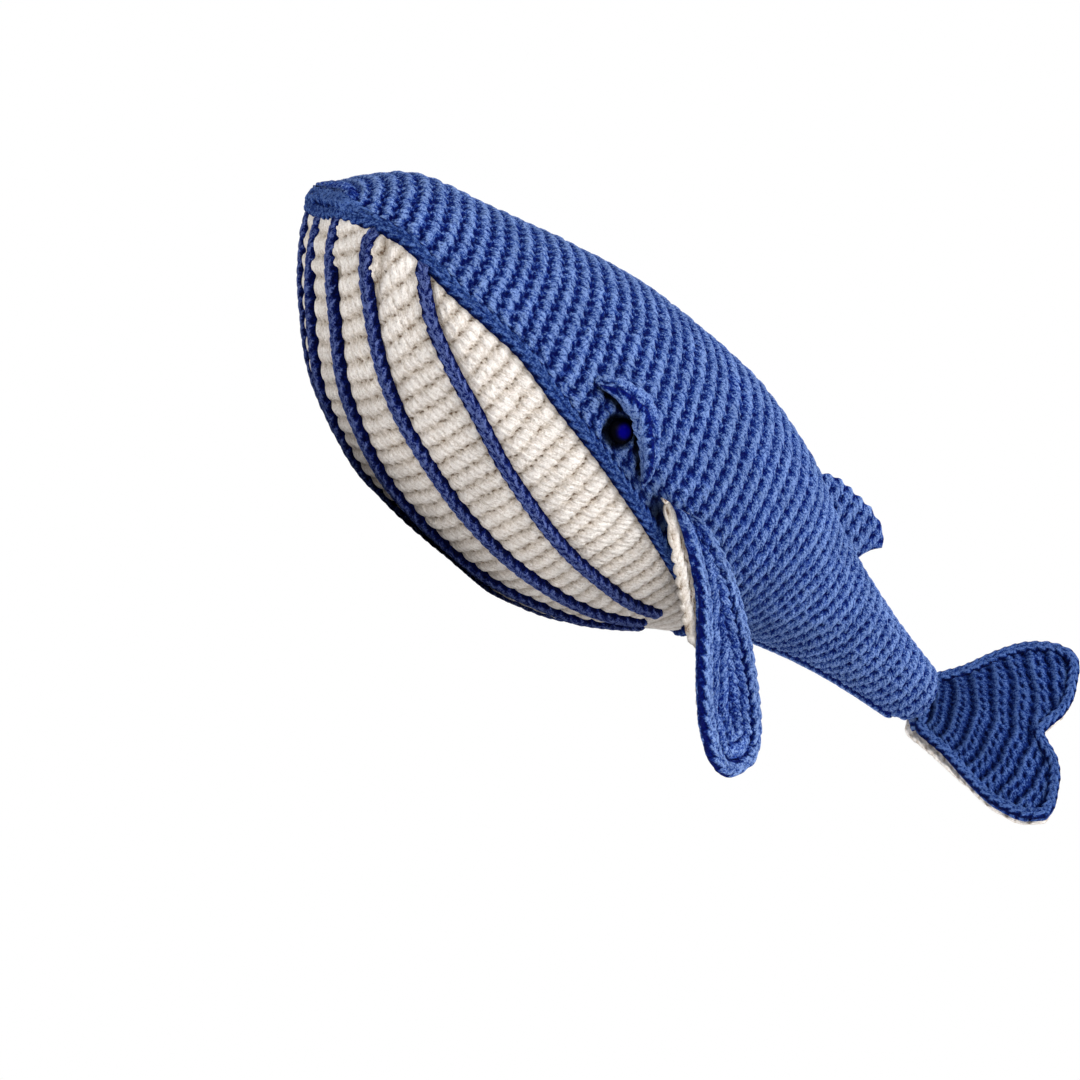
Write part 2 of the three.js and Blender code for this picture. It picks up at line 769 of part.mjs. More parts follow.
// A point of the fluke: place across the span from -1 to 1, share from leading to trailing edge
function onFluke(place, share, height, inset = 0) {
  const out = Math.abs(place);
  const root = STITCH_RADIUS + JOINT_GAP;
  const lead = root + smooth(flukeShares, 1, out) * FLUKE_LENGTH + inset;
  const trail = root + smooth(flukeShares, 2, out) * FLUKE_LENGTH - inset;
  const x = lead + (trail - lead) * share;
  const y = (out * FLUKE_WIDTH) / 2 - inset * Math.pow(out, 8);
  const level = height - flukeStack / 2;
  const tilt = FLUKE_CUP * Math.min(1, out * 4);
  const across = y * Math.cos(tilt) - level * Math.sin(tilt);
  return new THREE.Vector3(x, Math.sign(place) * across, y * Math.sin(tilt) + level * Math.cos(tilt));
}

function flukePanel(low, high) {
  return sheet(FLUKE_STEPS, 6, (s, t, side) => {
    const place = Math.sin((s - 0.5) * Math.PI);
    return onFluke(place, t, side ? high : low);
  });
}

function flukeRim() {
  const feet = [];
  const outs = [];
  const steps = 30;
  const inset = FLUKE_RIM_WIDTH / 2;
  const base = flukeStack + 2 * SEAT_GAP;
  const lay = (k, share) => {
    const place = Math.sin((k / steps - 0.5) * Math.PI) * 0.98;
    const foot = onFluke(place, share, base, inset);
    feet.push(foot);
    outs.push(onFluke(place, share, base + FABRIC, inset).sub(foot).normalize());
  };
  for (let k = 0; k <= steps; k += 1) lay(k, 1);
  for (let k = steps - 1; k > 0; k -= 1) lay(k, 0);
  return chain(feet, outs, FLUKE_RIM_WIDTH, FLUKE_RIM_HEIGHT, true);
}

// The roll of stitches that the fluke hangs from, round along the span
function stitchRoll() {
  const outline = [];
  const half = STITCH_WIDTH / 2;
  for (let k = 0; k <= 8; k += 1) {
    const a = (k / 8 - 0.5) * Math.PI;
    const end = Math.sign(k - 4) * (half - STITCH_RADIUS);
    outline.push(new THREE.Vector2(STITCH_RADIUS * Math.cos(a), end + STITCH_RADIUS * Math.sin(a)));
  }
  outline[0].x = 0;
  outline[outline.length - 1].x = 0;
  return new THREE.LatheGeometry(outline, 16);
}
addPiece("fluke_stitching", stitchRoll(), blueYarn, fluke);
addPiece("fluke_lining", flukePanel(0, FLUKE_LINING), creamYarn, fluke);
addPiece("fluke_top", flukePanel(FLUKE_LINING + SEAT_GAP, flukeStack), blueYarn, fluke);
addPiece("fluke_rim", flukeRim(), blueYarn, fluke);

// Dorsal fin: a thick swept flap sewn along the back
function dorsalFin() {
  return sheet(8, 5, (s, t, side) => {
    const foot = onBody(DORSAL_STATION + DORSAL_BASE * s, Math.PI / 2, JOINT_GAP);
    const height = smooth(dorsalShares, 1, s) * DORSAL_HEIGHT * t;
    const taper = (1 - 0.5 * t) * (0.5 + 0.5 * Math.sin(Math.PI * Math.min(s + 0.1, 0.6)));
    const thickness = Math.min(DORSAL_THICKNESS * taper, DORSAL_FOOT + 3 * height);
    const lean = DORSAL_LEAN * Math.pow(s, 3) * t * t;
    return new THREE.Vector3(foot.x + lean, (side - 0.5) * thickness, foot.z + height);
  });
}
addPiece("dorsal_fin", dorsalFin(), blueYarn);

// Set it down: pitched onto its flattened belly, centred over the origin
whale.rotation.y = REST_PITCH;
whale.updateMatrixWorld(true);
const bounds = new THREE.Box3().setFromObject(whale, true);
const centre = bounds.getCenter(new THREE.Vector3());
whale.position.set(-centre.x, -centre.y, -bounds.min.z);

const part = new THREE.Group();
part.add(whale);
export default part;
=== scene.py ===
"""Looks of a crocheted plush whale: stitched covers, chains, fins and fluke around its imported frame."""

import math

import bpy
import numpy as np
from mathutils import Matrix, Vector

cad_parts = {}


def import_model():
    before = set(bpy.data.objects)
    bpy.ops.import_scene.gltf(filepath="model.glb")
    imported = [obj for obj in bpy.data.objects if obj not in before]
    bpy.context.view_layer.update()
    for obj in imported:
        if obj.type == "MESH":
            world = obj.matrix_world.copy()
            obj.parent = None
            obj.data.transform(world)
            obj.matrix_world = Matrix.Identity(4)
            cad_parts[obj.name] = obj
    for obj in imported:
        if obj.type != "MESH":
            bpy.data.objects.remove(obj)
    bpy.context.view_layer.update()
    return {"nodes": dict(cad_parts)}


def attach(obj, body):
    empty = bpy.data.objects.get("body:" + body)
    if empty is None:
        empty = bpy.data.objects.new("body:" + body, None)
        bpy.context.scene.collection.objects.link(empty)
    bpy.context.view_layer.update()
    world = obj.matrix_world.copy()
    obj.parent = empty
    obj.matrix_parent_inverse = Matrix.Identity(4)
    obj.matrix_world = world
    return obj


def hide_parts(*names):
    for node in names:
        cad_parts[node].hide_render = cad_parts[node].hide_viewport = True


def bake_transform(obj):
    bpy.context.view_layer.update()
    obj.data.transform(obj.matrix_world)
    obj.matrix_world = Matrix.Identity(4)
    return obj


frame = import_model()

# Sizes, millimetres in the body's own frame
BODY_LENGTH, BODY_DEPTH, BODY_WIDTH = 345.0, 132.0, 129.0
TAIL_END = 340.0
NOSE_BULGE, NOSE_LINE, TAIL_BULGE = 4.0, 19.0, 3.4
REST_PITCH = math.radians(-4)
REST_STATION, REST_DEPTH, REST_BLEND = 118.0, 68.6, 1.0
BODY_PLACE = np.array([-191.99342, -20.09128, 63.55163])
PANEL_FRONT, PANEL_CORNER, PANEL_REAR = 1.2, 9.0, 222.0
CORNER_POWER = 5
SEAT_GAP, JOINT_GAP = 0.35, 0.5
FABRIC = 3.2
EYE_STATION, EYE_ANGLE = 116.8, math.radians(6.4)
EYE_RADIUS, EYE_DOME, EYE_RIM = 4.8, 3.6, 0.8
SHANK_RADIUS, SHANK_LENGTH = 1.6, 9.0
LID_SPAN, LID_ANGLE, LID_FOOT = 15.0, math.radians(10.5), 0.2
LID_RISE, LID_REACH, LID_THICKNESS = 6.4, 7.0, 4.4
CREASE_STATION, CREASE_ANGLE, CREASE_SLOPE = 151.0, math.radians(-8.5), math.radians(45)
CREASE_LENGTH, CREASE_WIDTH = 12.0, 5.5
DRAWN_IN = 1.6
STITCH, RELIEF = 4.9, 2.3
MIRROR = np.array([1, -1, 1])

# Along the body: shares of its depth to the top and the bottom, and of its width to a side
PROFILE = [
    [0, 0.095, 0.02, 0.202],
    [0.017, 0.155, -0.085, 0.248],
    [0.058, 0.248, -0.23, 0.326],
    [0.13, 0.302, -0.397, 0.403],
    [0.232, 0.38, -0.506, 0.465],
    [0.348, 0.442, -0.549, 0.5],
    [0.478, 0.458, -0.495, 0.465],
    [0.609, 0.408, -0.319, 0.357],
    [0.739, 0.28, -0.156, 0.233],
    [0.87, 0.192, -0.087, 0.155],
    [1, 0.136, -0.055, 0.093],
]
# Along the cream panel: its reach to each side as a share of a quarter turn
EDGE = [
    [0, 1.02], [0.06, 1.09], [0.17, 1.11], [0.27, 1.1], [0.4, 1.02],
    [0.55, 0.94], [0.7, 0.83], [0.82, 0.7], [0.93, 0.45], [1, 0],
]
# Each pleat chain from the middle one out: shares along the panel and across its half
PLEATS = [
    [[0.0, 0], [0.92, 0]],
    [
        [0, 0.46], [0.03, 0.36], [0.09, 0.3], [0.2, 0.23],
        [0.35, 0.19], [0.55, 0.22], [0.7, 0.26], [0.9, 0.36],
    ],
    [
        [0.012, 0.97], [0.04, 0.76], [0.08, 0.61], [0.15, 0.53], [0.27, 0.46],
        [0.45, 0.44], [0.68, 0.44], [0.78, 0.48], [0.87, 0.54],
    ],
    [
        [0.085, 0.98], [0.12, 0.9], [0.18, 0.81], [0.28, 0.74],
        [0.44, 0.69], [0.64, 0.66], [0.8, 0.68], [0.86, 0.72],
    ],
]
# The eyelid's sewn edge from the eye: shares of its span along the body and of its angle round it
LID = [[-1.1, 0.72], [-0.77, 0.92], [-0.06, 0.99], [0.53, 0.52], [0.98, -0.19], [1.3, -0.95]]
# Along a pectoral fin: its front and rear edge as shares of its width
FIN = [
    [0, -0.1, 0.18], [0.1, -0.05, 0.27], [0.2, -0.03, 0.39], [0.3, -0.03, 0.47], [0.45, -0.13, 0.53],
    [0.6, -0.25, 0.55], [0.75, -0.33, 0.53], [0.86, -0.32, 0.49], [0.95, -0.21, 0.39], [1, 0.05, 0.2],
]
# Out from the fluke's middle: its leading and trailing edge as shares of its length
FLUKE = [
    [0, 0, 0.83], [0.12, 0, 0.88], [0.28, 0, 0.96], [0.5, 0.19, 1],
    [0.75, 0.4, 1], [0.92, 0.58, 0.96], [1, 0.75, 0.82],
]
# Along the back fin: its height
DORSAL = [[0, 0.12], [0.25, 0.62], [0.5, 0.86], [0.75, 1], [0.88, 0.97], [0.96, 0.86], [1, 0.64]]


# The body's form
def smooth(rows, column, x):
    """A smooth value at x through the rows of a table, with no overshoot between them."""
    rows = np.asarray(rows, float)
    xs, ys = rows[:, 0], rows[:, column]
    x = np.clip(x, xs[0], xs[-1])
    rise = np.diff(ys) / np.diff(xs)
    slope = np.concatenate([rise[:1], np.zeros(len(rise) - 1), rise[-1:]])
    product, total = rise[:-1] * rise[1:], rise[:-1] + rise[1:]
    slope[1:-1] = np.where(product <= 0, 0, 2 * product / np.where(total == 0, 1, total))
    k = np.clip(np.searchsorted(xs, x, side="left") - 1, 0, len(xs) - 2)
    width = xs[k + 1] - xs[k]
    t = (x - xs[k]) / width
    ease = t * t * (3 - 2 * t)
    hump = slope[k] * width * t * (1 - t) ** 2 - slope[k + 1] * width * t * t * (1 - t)
    return ys[k] * (1 - ease) + ys[k + 1] * ease + hump


def unit(v):
    return v / np.maximum(np.linalg.norm(v, axis=-1, keepdims=True), 1e-12)


def skin(station, angle):
    """Points of the body's outer surface: angle 0 on the left flank, a quarter turn on the back."""
    station, angle = np.broadcast_arrays(np.asarray(station, float), np.asarray(angle, float))
    share = station / BODY_LENGTH
    top = smooth(PROFILE, 1, share) * BODY_DEPTH
    bottom = smooth(PROFILE, 2, share) * BODY_DEPTH
    half = smooth(PROFILE, 3, share) * BODY_WIDTH
    height = (top + bottom) / 2 + (top - bottom) / 2 * np.sin(angle)
    floor = (station - REST_STATION) * math.tan(REST_PITCH) - REST_DEPTH
    height = (height + floor + np.sqrt((height - floor) ** 2 + REST_BLEND)) / 2
    return np.stack([station, -half * np.cos(angle), height], -1)


def outward(station, angle):
    """Unit normals of the skin, from points a short way off on each side."""
    station, angle = np.broadcast_arrays(np.asarray(station, float), np.asarray(angle, float))
    way = 0.5
    turn = way / BODY_WIDTH
    along = skin(station + way, angle) - skin(station - way, angle)
    around = skin(station, angle + turn) - skin(station, angle - turn)
    return unit(np.cross(along, around))


def on_body(station, angle, offset):
    return skin(station, angle) + outward(station, angle) * np.asarray(offset)[..., None]


def edge_reach(station):
    """How far round from the belly's middle line the cream panel reaches, as an angle."""
    share = np.clip((station - PANEL_CORNER) / (PANEL_REAR - PANEL_CORNER), 0, 1)
    return smooth(EDGE, 1, share) * math.pi / 2


def turned_y(points, angle):
    c, s = math.cos(angle), math.sin(angle)
    x, y, z = points[..., 0], points[..., 1], points[..., 2]
    return np.stack([c * x + s * z, y, -s * x + c * z], -1)


def placed(points):
    """Body frame in millimetres to the part's frame in metres."""
    return (turned_y(points, REST_PITCH) + BODY_PLACE) / 1000


def mirrored(points, side):
    """Points of the left flank, or their mirror image on the right one."""
    return points * MIRROR if side == "right" else points


# Stitches
def hashed(*values):
    """A fixed number from 0 to 1 for whole numbers."""
    total = np.zeros(np.broadcast(*values).shape)
    for k, v in enumerate(values):
        total = total + np.asarray(v, float) * (12.9898 + 65.233 * k)
    return np.mod(np.abs(np.sin(total) * 43758.5453), 1.0)


def single_crochet(u, v, seed=0, lean=0.55, ridge=0.33, bridge=0.55, post=0.24, tilt=0.7, cut=0.3):
    """Height from 0 to 1 of rows of single crochet: u counts stitches along a row, v counts rows."""
    v = v + 0.05 * np.sin(u * 0.83 + 1.7 * seed) + 0.03 * np.sin(u * 2.1 + v * 0.9)
    row = np.floor(v)
    b = v - row
    shifted = u + lean * row + 0.12 * hashed(row, row * 0 + seed) + 0.05 * np.sin(u * 1.3 + row * 2.2)
    stitch = np.floor(shifted)
    a = shifted - stitch
    wild = hashed(stitch, row, row * 0 + seed) - 0.5
    other = hashed(stitch, row, row * 0 + seed + 3) - 0.5
    # the loops along the top of each row make its ridge
    crest = 0.5 + 0.04 * np.sin(2 * math.pi * a) + 0.05 * other
    wide = ridge * (1 + 0.1 * np.cos(2 * math.pi * a) + 0.12 * wild)
    loops = np.sqrt(np.clip(1 - ((b - crest) / wide) ** 2, 0, 1))
    slant = np.mod(a + tilt * (b - crest) + 0.5, 1.0) - 0.5
    half = np.mod(a + tilt * (b - crest), 1.0) - 0.5
    loops = loops * (1 - cut * np.exp(-((slant / 0.12) ** 2)) - 0.14 * np.exp(-((half / 0.09) ** 2)))
    # the posts bridge the valley between two rows, with a hole beside each
    near = np.where(b > 0.5, b - 1, b)
    off = np.mod(a + tilt * near + 0.12 * wild + 0.5, 1.0) - 0.5
    posts = bridge * np.sqrt(np.clip(1 - (off / post) ** 2, 0, 1)) * (0.9 + 0.25 * wild)
    return np.maximum(loops * (0.93 + 0.14 * wild), posts)


def braid(s, t, seed=0):
    """Height from 0 to 1 of a chain's top, and a number for each strand.

    s runs across the chain from -1 to 1, and t counts its links.
    """
    t = t + 0.18 * np.sign(s)
    best = np.zeros(np.broadcast(s, t).shape)
    strand = best + 0
    for lag in (1, 0):
        link = np.floor(t) - lag
        run = t - link
        wild = hashed(link, np.sign(s), link * 0 + seed) - 0.5
        centre = 0.74 - (0.52 + 0.1 * wild) * np.clip(run, 0, 2) ** 0.85
        off = (np.abs(s) - centre) / 0.4
        end = 1 - 0.4 * np.clip((run - 1.0) / 0.7, 0, 1)
        lift = np.sqrt(np.clip(run / 0.3, 0, 1)) * end * (1 + 0.12 * wild)
        height = np.where(run < 1.7, lift * np.sqrt(np.clip(1 - off**2, 0, 1)), 0)
        strand = np.where(height > best, off * 0.22 + 0.37 * link + 0.18 * np.sign(s), strand)
        best = np.maximum(best, height)
    return best, strand


# Meshes
def counts(along, rows, painted_shade=0.0):
    """The stitch numbers at each point: along a row, across the rows, and how much shade is painted there."""
    return np.stack(np.broadcast_arrays(along, rows, painted_shade), -1)


def make_piece(name, points, faces, depth, stitch, material):
    """A mesh piece from points, quads and triangles, with its stitch numbers for the material."""
    mesh = bpy.data.meshes.new(name)
    co = placed(points)
    mesh.vertices.add(len(co))
    mesh.vertices.foreach_set("co", co.astype(np.float32).ravel())
    quads = np.concatenate([np.asarray(f, np.int32).ravel() for f in faces])
    sizes = np.concatenate([np.full(len(f), np.asarray(f).shape[1], np.int32) for f in faces])
    starts = np.concatenate([[0], np.cumsum(sizes)[:-1]]).astype(np.int32)
    mesh.loops.add(len(quads))
    mesh.loops.foreach_set("vertex_index", quads)
    mesh.polygons.add(len(sizes))
    mesh.polygons.foreach_set("loop_start", starts)
    mesh.polygons.foreach_set("loop_total", sizes)
    mesh.polygons.foreach_set("use_smooth", np.ones(len(sizes), bool))
    mesh.update(calc_edges=True)
    mesh.validate()
    low = mesh.attributes.new("depth", "FLOAT", "POINT")
    low.data.foreach_set("value", np.asarray(depth, np.float32).ravel())
    grid = mesh.attributes.new("stitch", "FLOAT_VECTOR", "POINT")
    grid.data.foreach_set("vector", np.asarray(stitch, np.float32).ravel())
    mesh.materials.append(material)
    obj = bpy.data.objects.new(name, mesh)
    bpy.context.scene.collection.objects.link(obj)
    return obj


def grid_faces(rows, columns, start=0, wrap_columns=False, wrap_rows=False, flip=False):
    i = np.arange(rows if wrap_rows else rows - 1)[:, None]
    j = np.arange(columns if wrap_columns else columns - 1)[None, :]
    a = i * columns + j
    b = i * columns + (j + 1) % columns
    c = ((i + 1) % rows) * columns + (j + 1) % columns
    d = ((i + 1) % rows) * columns + j
    order = [a, d, c, b] if flip else [a, b, c, d]
    return np.stack([np.broadcast_to(x, (len(i), j.shape[1])).ravel() for x in order], -1) + start


def tube(name, rings, depth, stitch, material, ends=True, flip=False):
    """A closed skin over rings of points; open rings are capped by a fan at each end."""
    rows, columns = rings.shape[:2]
    faces = [grid_faces(rows, columns, 0, True, not ends, flip)]
    points, low, grid = rings.reshape(-1, 3), depth.ravel(), stitch.reshape(-1, 3)
    if ends:
        tips = np.stack([rings[0].mean(0), rings[-1].mean(0)])
        points = np.concatenate([points, tips])
        low = np.concatenate([low, [depth[0].mean(), depth[-1].mean()]])
        grid = np.concatenate([grid, stitch[0, :1], stitch[-1, :1]])
        k = np.arange(columns)
        n, last = rows * columns, (rows - 1) * columns
        first = np.stack([np.full(columns, n), (k + 1) % columns, k], -1)
        final = np.stack([np.full(columns, n + 1), last + k, last + (k + 1) % columns], -1)
        if flip:
            first, final = first[:, ::-1], final[:, ::-1]
        faces += [first, final]
    return make_piece(name, points, faces, low, grid, material)


def slab(name, outer, inner, depth_outer, depth_inner, stitch, material, flip=False):
    """A sheet with two faces and a rim."""
    rows, columns = outer.shape[:2]
    n = rows * columns
    faces = [grid_faces(rows, columns, 0, flip=flip), grid_faces(rows, columns, n, flip=not flip)]
    ids = np.arange(n).reshape(rows, columns)
    loop = np.concatenate([ids[0, :], ids[1:, -1], ids[-1, -2::-1], ids[-2:0:-1, 0]])
    after = np.roll(loop, -1)
    rim = np.stack([after, loop, loop + n, after + n], -1)
    faces.append(rim[:, ::-1] if flip else rim)
    points = np.concatenate([outer.reshape(-1, 3), inner.reshape(-1, 3)])
    low = np.concatenate([depth_outer.ravel(), depth_inner.ravel()])
    grid = np.concatenate([stitch.reshape(-1, 3)] * 2)
    return make_piece(name, points, faces, low, grid, material)


def surface_normals(grid):
    """Unit normals of a grid of points, from its two directions."""
    return unit(np.cross(np.gradient(grid, axis=0), np.gradient(grid, axis=1)))


def spaced(points, step, closed=False):
    """Places along a polyline at even steps, as (index as a float, length)."""
    line = np.concatenate([points, points[:1]]) if closed else points
    length = np.concatenate([[0], np.cumsum(np.linalg.norm(np.diff(line, axis=0), axis=1))])
    count = max(int(round(length[-1] / step)), 4)
    marks = np.linspace(0, length[-1], count + 1)
    if closed:
        marks = marks[:-1]
    return np.interp(marks, length, np.arange(len(line))), marks, length[-1]


def sampled(values, where, closed=False):
    line = np.concatenate([values, values[:1]]) if closed else values
    index = np.arange(len(line))
    return np.stack([np.interp(where, index, line[:, k]) for k in range(line.shape[1])], -1)


def softened(values, reach, closed=False):
    """A running mean along a route."""
    if closed:
        return sum(np.roll(values, k, 0) for k in range(-reach, reach + 1)) / (2 * reach + 1)
    padded = np.concatenate([np.repeat(values[:1], reach, 0), values, np.repeat(values[-1:], reach, 0)])
    return sum(padded[k : k + len(values)] for k in range(2 * reach + 1)) / (2 * reach + 1)


CHAIN_SIDES, CHAIN_STEP = 24, 0.42


def chain(name, feet, outs, width, height, material, pitch=4.8, closed=False, sunk=1.0, seed=0,
          mirror=False, taper=0.6, shade=0.0, light=1.0):
    """A chain of stitches lying along a route, with a V in each stitch, and sunk a little below it.

    An open chain narrows over the taper's number of links at each end. Its yarn is no darker than the
    shade, and light scales it.
    """
    where, marks, length = spaced(feet, CHAIN_STEP, closed)
    feet, outs = sampled(feet, where, closed), unit(sampled(outs, where, closed))
    ahead = np.roll(feet, -1, 0) - np.roll(feet, 1, 0) if closed else np.gradient(feet, axis=0)
    side = unit(np.cross(ahead, outs))
    theta = np.arange(CHAIN_SIDES) / CHAIN_SIDES * 2 * math.pi
    s, up = np.cos(theta)[None, :], np.sin(theta)[None, :]
    t = (marks / length * max(round(length / pitch), 1))[:, None]
    top, strand = braid(s, t, seed)
    ends = np.ones_like(marks)
    if not closed:
        ends = np.clip(np.minimum(marks, length - marks) / (taper * pitch), 0, 1) ** 0.5 * 0.75 + 0.25
    wide = width / 2 * (0.84 + 0.18 * top) * ends[:, None]
    rise = np.where(up > 0, np.abs(up) ** 0.75 * height * (0.5 + 0.52 * top), up * sunk) * ends[:, None]
    rings = feet[:, None] + side[:, None] * (s * wide)[..., None] + outs[:, None] * rise[..., None]
    # painted shade and light: dark on the underside, lighter on the outward top, bounded by shade and scaled
    # by light
    lit = np.where(up > -0.1, np.clip(up + 0.35, 0, 1) ** 0.5 * top, 0)
    depth = np.clip(lit, shade, 1) * light
    rings = rings * MIRROR if mirror else rings
    return tube(name, rings, depth, counts(strand, 0.8 * t), material, ends=not closed, flip=not mirror)


# Materials
def srgb(r, g, b):
    def linear(c):
        c /= 255
        return c / 12.92 if c <= 0.04045 else ((c + 0.055) / 1.055) ** 2.4

    return (linear(r), linear(g), linear(b), 1)


def feed(tree, node, inputs):
    """Gives each named input of a node its value, or the socket that feeds it."""
    for name, value in inputs.items():
        if isinstance(value, bpy.types.NodeSocket):
            tree.links.new(value, node.inputs[name])
        else:
            node.inputs[name].default_value = value


def add(tree, kind, inputs=None, **settings):
    """A new shader node with its settings and inputs."""
    node = tree.nodes.new("ShaderNode" + kind)
    for name, value in settings.items():
        setattr(node, name, value)
    feed(tree, node, inputs or {})
    return node


def maths(tree, operation, *values):
    return add(tree, "Math", dict(enumerate(values)), operation=operation).outputs[0]


def noise(tree, place, scale, detail=2.0, rough=0.5, **settings):
    inputs = {"Vector": place, "Scale": scale, "Detail": detail, "Roughness": rough}
    return add(tree, "TexNoise", inputs, **settings).outputs["Fac"]


def ramp(tree, level, *stops):
    """A ramp through stops, each a place from 0 to 1 and a shade in 8-bit numbers."""
    node = add(tree, "ValToRGB", {"Fac": level})
    elements = node.color_ramp.elements
    for k in (0, -1):
        elements[k].position = stops[k][0]
        elements[k].color = srgb(*stops[k][1])
    for at, shade in stops[1:-1]:
        elements.new(at).color = srgb(*shade)
    return node.outputs["Color"]


def bump(tree, height, strength, distance, **before):
    inputs = {"Height": height, "Strength": strength, "Distance": distance, **before}
    return add(tree, "Bump", inputs).outputs["Normal"]


def new_material(name):
    material = bpy.data.materials.new(name)
    material.use_nodes = True
    tree = material.node_tree
    return material, tree, tree.nodes["Principled BSDF"]


def yarn(name, shades, fuzz=0.85, plies=0.5, relief=1.0):
    """Cotton yarn in four shades: painted shade in the holes between stitches, painted highlight on the
    crests.

    Fine plies run along each strand, and a fuzz of fibres lies over it.
    """
    hole, low, middle, crest = shades
    material, tree, shader = new_material(name)
    depth = add(tree, "Attribute", attribute_name="depth").outputs["Fac"]
    stitch = add(tree, "Attribute", attribute_name="stitch").outputs["Vector"]
    place = add(tree, "TexCoord").outputs["Object"]
    number = add(tree, "SeparateXYZ", {"Vector": stitch}).outputs
    flat = add(tree, "CombineXYZ", {"X": number["X"], "Y": number["Y"]}).outputs["Vector"]
    # fibres drawn out along the strand
    drawn = {"Vector": flat, "Scale": (10.5, 2.6, 1), "Rotation": (0, 0, 0.35)}
    drawn = add(tree, "Mapping", drawn).outputs["Vector"]
    strands = noise(tree, drawn, 1.0, 2, 0.6, noise_dimensions="2D")
    fibres = noise(tree, place, 1150, 3, 0.75)
    patches = noise(tree, place, 60, 3)
    # where the colour comes from: height, as painted shade and highlight, then plies and fuzz
    level = maths(tree, "MULTIPLY_ADD", strands, 2 * plies, depth)
    level = maths(tree, "MULTIPLY_ADD", fibres, 2 * fuzz, level)
    level = maths(tree, "SUBTRACT", level, plies + fuzz)
    colour = ramp(tree, level, (0.08, hole), (0.38, low), (0.68, middle), (1.0, crest))
    # the third stitch number is near 1 in the eye sockets and fin creases: painted shade, nearly black
    tone = {"Value": patches, "From Min": 0.3, "From Max": 0.7, "To Min": 0.9, "To Max": 1.1}
    tone = add(tree, "MapRange", tone).outputs["Result"]
    value = maths(tree, "MULTIPLY", tone, maths(tree, "SUBTRACT", 1.0, number["Z"]))
    colour = add(tree, "HueSaturation", {"Value": value, "Color": colour}).outputs["Color"]
    rough = add(tree, "MapRange", {"Value": fibres, "To Min": 0.82, "To Max": 0.98}).outputs["Result"]
    coarse = bump(tree, strands, relief, 0.0014)
    feed(tree, shader, {
        "Base Color": colour,
        "Roughness": rough,
        "Normal": bump(tree, fibres, relief, 0.001, Normal=coarse),
        "Specular IOR Level": 0.04,
        "Sheen Weight": 0.08,
        "Sheen Roughness": 0.45,
        "Sheen Tint": srgb(*crest),
    })
    return material


def eye_gloss():
    """A glossy button: deep blue in the middle of its dome, black towards its edge."""
    material, tree, shader = new_material("eye_gloss")
    ring = add(tree, "Attribute", attribute_name="depth").outputs["Fac"]
    grain = noise(tree, add(tree, "TexCoord").outputs["Object"], 900)
    level = maths(tree, "MULTIPLY_ADD", grain, 0.05, ring)
    dome = [(0, (2, 0, 104)), (0.42, (2, 0, 92)), (0.6, (1, 0, 40))]
    colour = ramp(tree, level, *dome, (0.74, (0, 0, 6)), (1, (1, 1, 4)))
    feed(tree, shader, {"Base Color": colour, "Roughness": 0.2, "Specular IOR Level": 0.015})
    return material


def moulded():
    """Plain white plastic with a faint grain."""
    material, tree, shader = new_material("washer_plastic")
    grain = noise(tree, add(tree, "TexCoord").outputs["Object"], 700)
    colour = ramp(tree, grain, (0, (222, 222, 218)), (1, (238, 238, 234)))
    normal = bump(tree, grain, 0.1, 0.0002)
    feed(tree, shader, {"Base Color": colour, "Roughness": 0.45, "Normal": normal})
    return material


BLUE = yarn("blue_yarn", [(0, 8, 86), (10, 40, 126), (68, 98, 168), (130, 158, 216)], fuzz=1.25)
CREAM = yarn(
    "cream_yarn", [(128, 106, 88), (194, 182, 168), (218, 208, 199), (242, 236, 230)],
    fuzz=0.7, plies=0.25, relief=0.8,
)
SEAM = yarn("seam_yarn", [(0, 6, 56), (5, 27, 96), (34, 62, 130), (86, 116, 180)], fuzz=1.1)
NAVY = yarn("chain_yarn", [(0, 4, 50), (2, 12, 76), (18, 34, 102), (92, 108, 166)], fuzz=1.2, plies=0.7)
FIBRE = yarn(
    "fibre_fill", [(205, 200, 190), (226, 223, 214), (242, 240, 233), (250, 249, 245)],
    fuzz=0.3, plies=0.1,
)
EYE, WASHER = eye_gloss(), moulded()


# Rows along the body
STATIONS = np.linspace(0, TAIL_END, 1400)
PITCH_STATIONS = [0, 60, 120, 200, 270, TAIL_END]
ROW_PITCH = np.interp(STATIONS, PITCH_STATIONS, [6.0, 6.4, 6.5, 6.3, 6.1, 5.9])
BEYOND_PITCH = 5.7
BACK_STEPS = np.hypot(np.diff(STATIONS), np.diff(smooth(PROFILE, 1, STATIONS / BODY_LENGTH) * BODY_DEPTH))
ROWS = np.concatenate([[0], np.cumsum(BACK_STEPS / ((ROW_PITCH[1:] + ROW_PITCH[:-1]) / 2))])
LEAN_STATIONS = [0, 30, 75, 150, 190, 215, 245, 290, TAIL_END]
ROW_LEAN = [0, 0, 0.07, 0.13, 0.04, -0.07, -0.17, -0.15, -0.05]


def row_of(station):
    inside = np.clip(station, 0, TAIL_END)
    return np.interp(inside, STATIONS, ROWS) + (station - inside) / BEYOND_PITCH


def leaning_row(station, points):
    """The row count at points of the back, whose rows lean a little from the cross-sections."""
    share = station / BODY_LENGTH
    middle = (smooth(PROFILE, 1, share) + smooth(PROFILE, 2, share)) / 2 * BODY_DEPTH
    lean = np.interp(station, LEAN_STATIONS, ROW_LEAN)
    return row_of(station + lean * (points[..., 2] - middle))


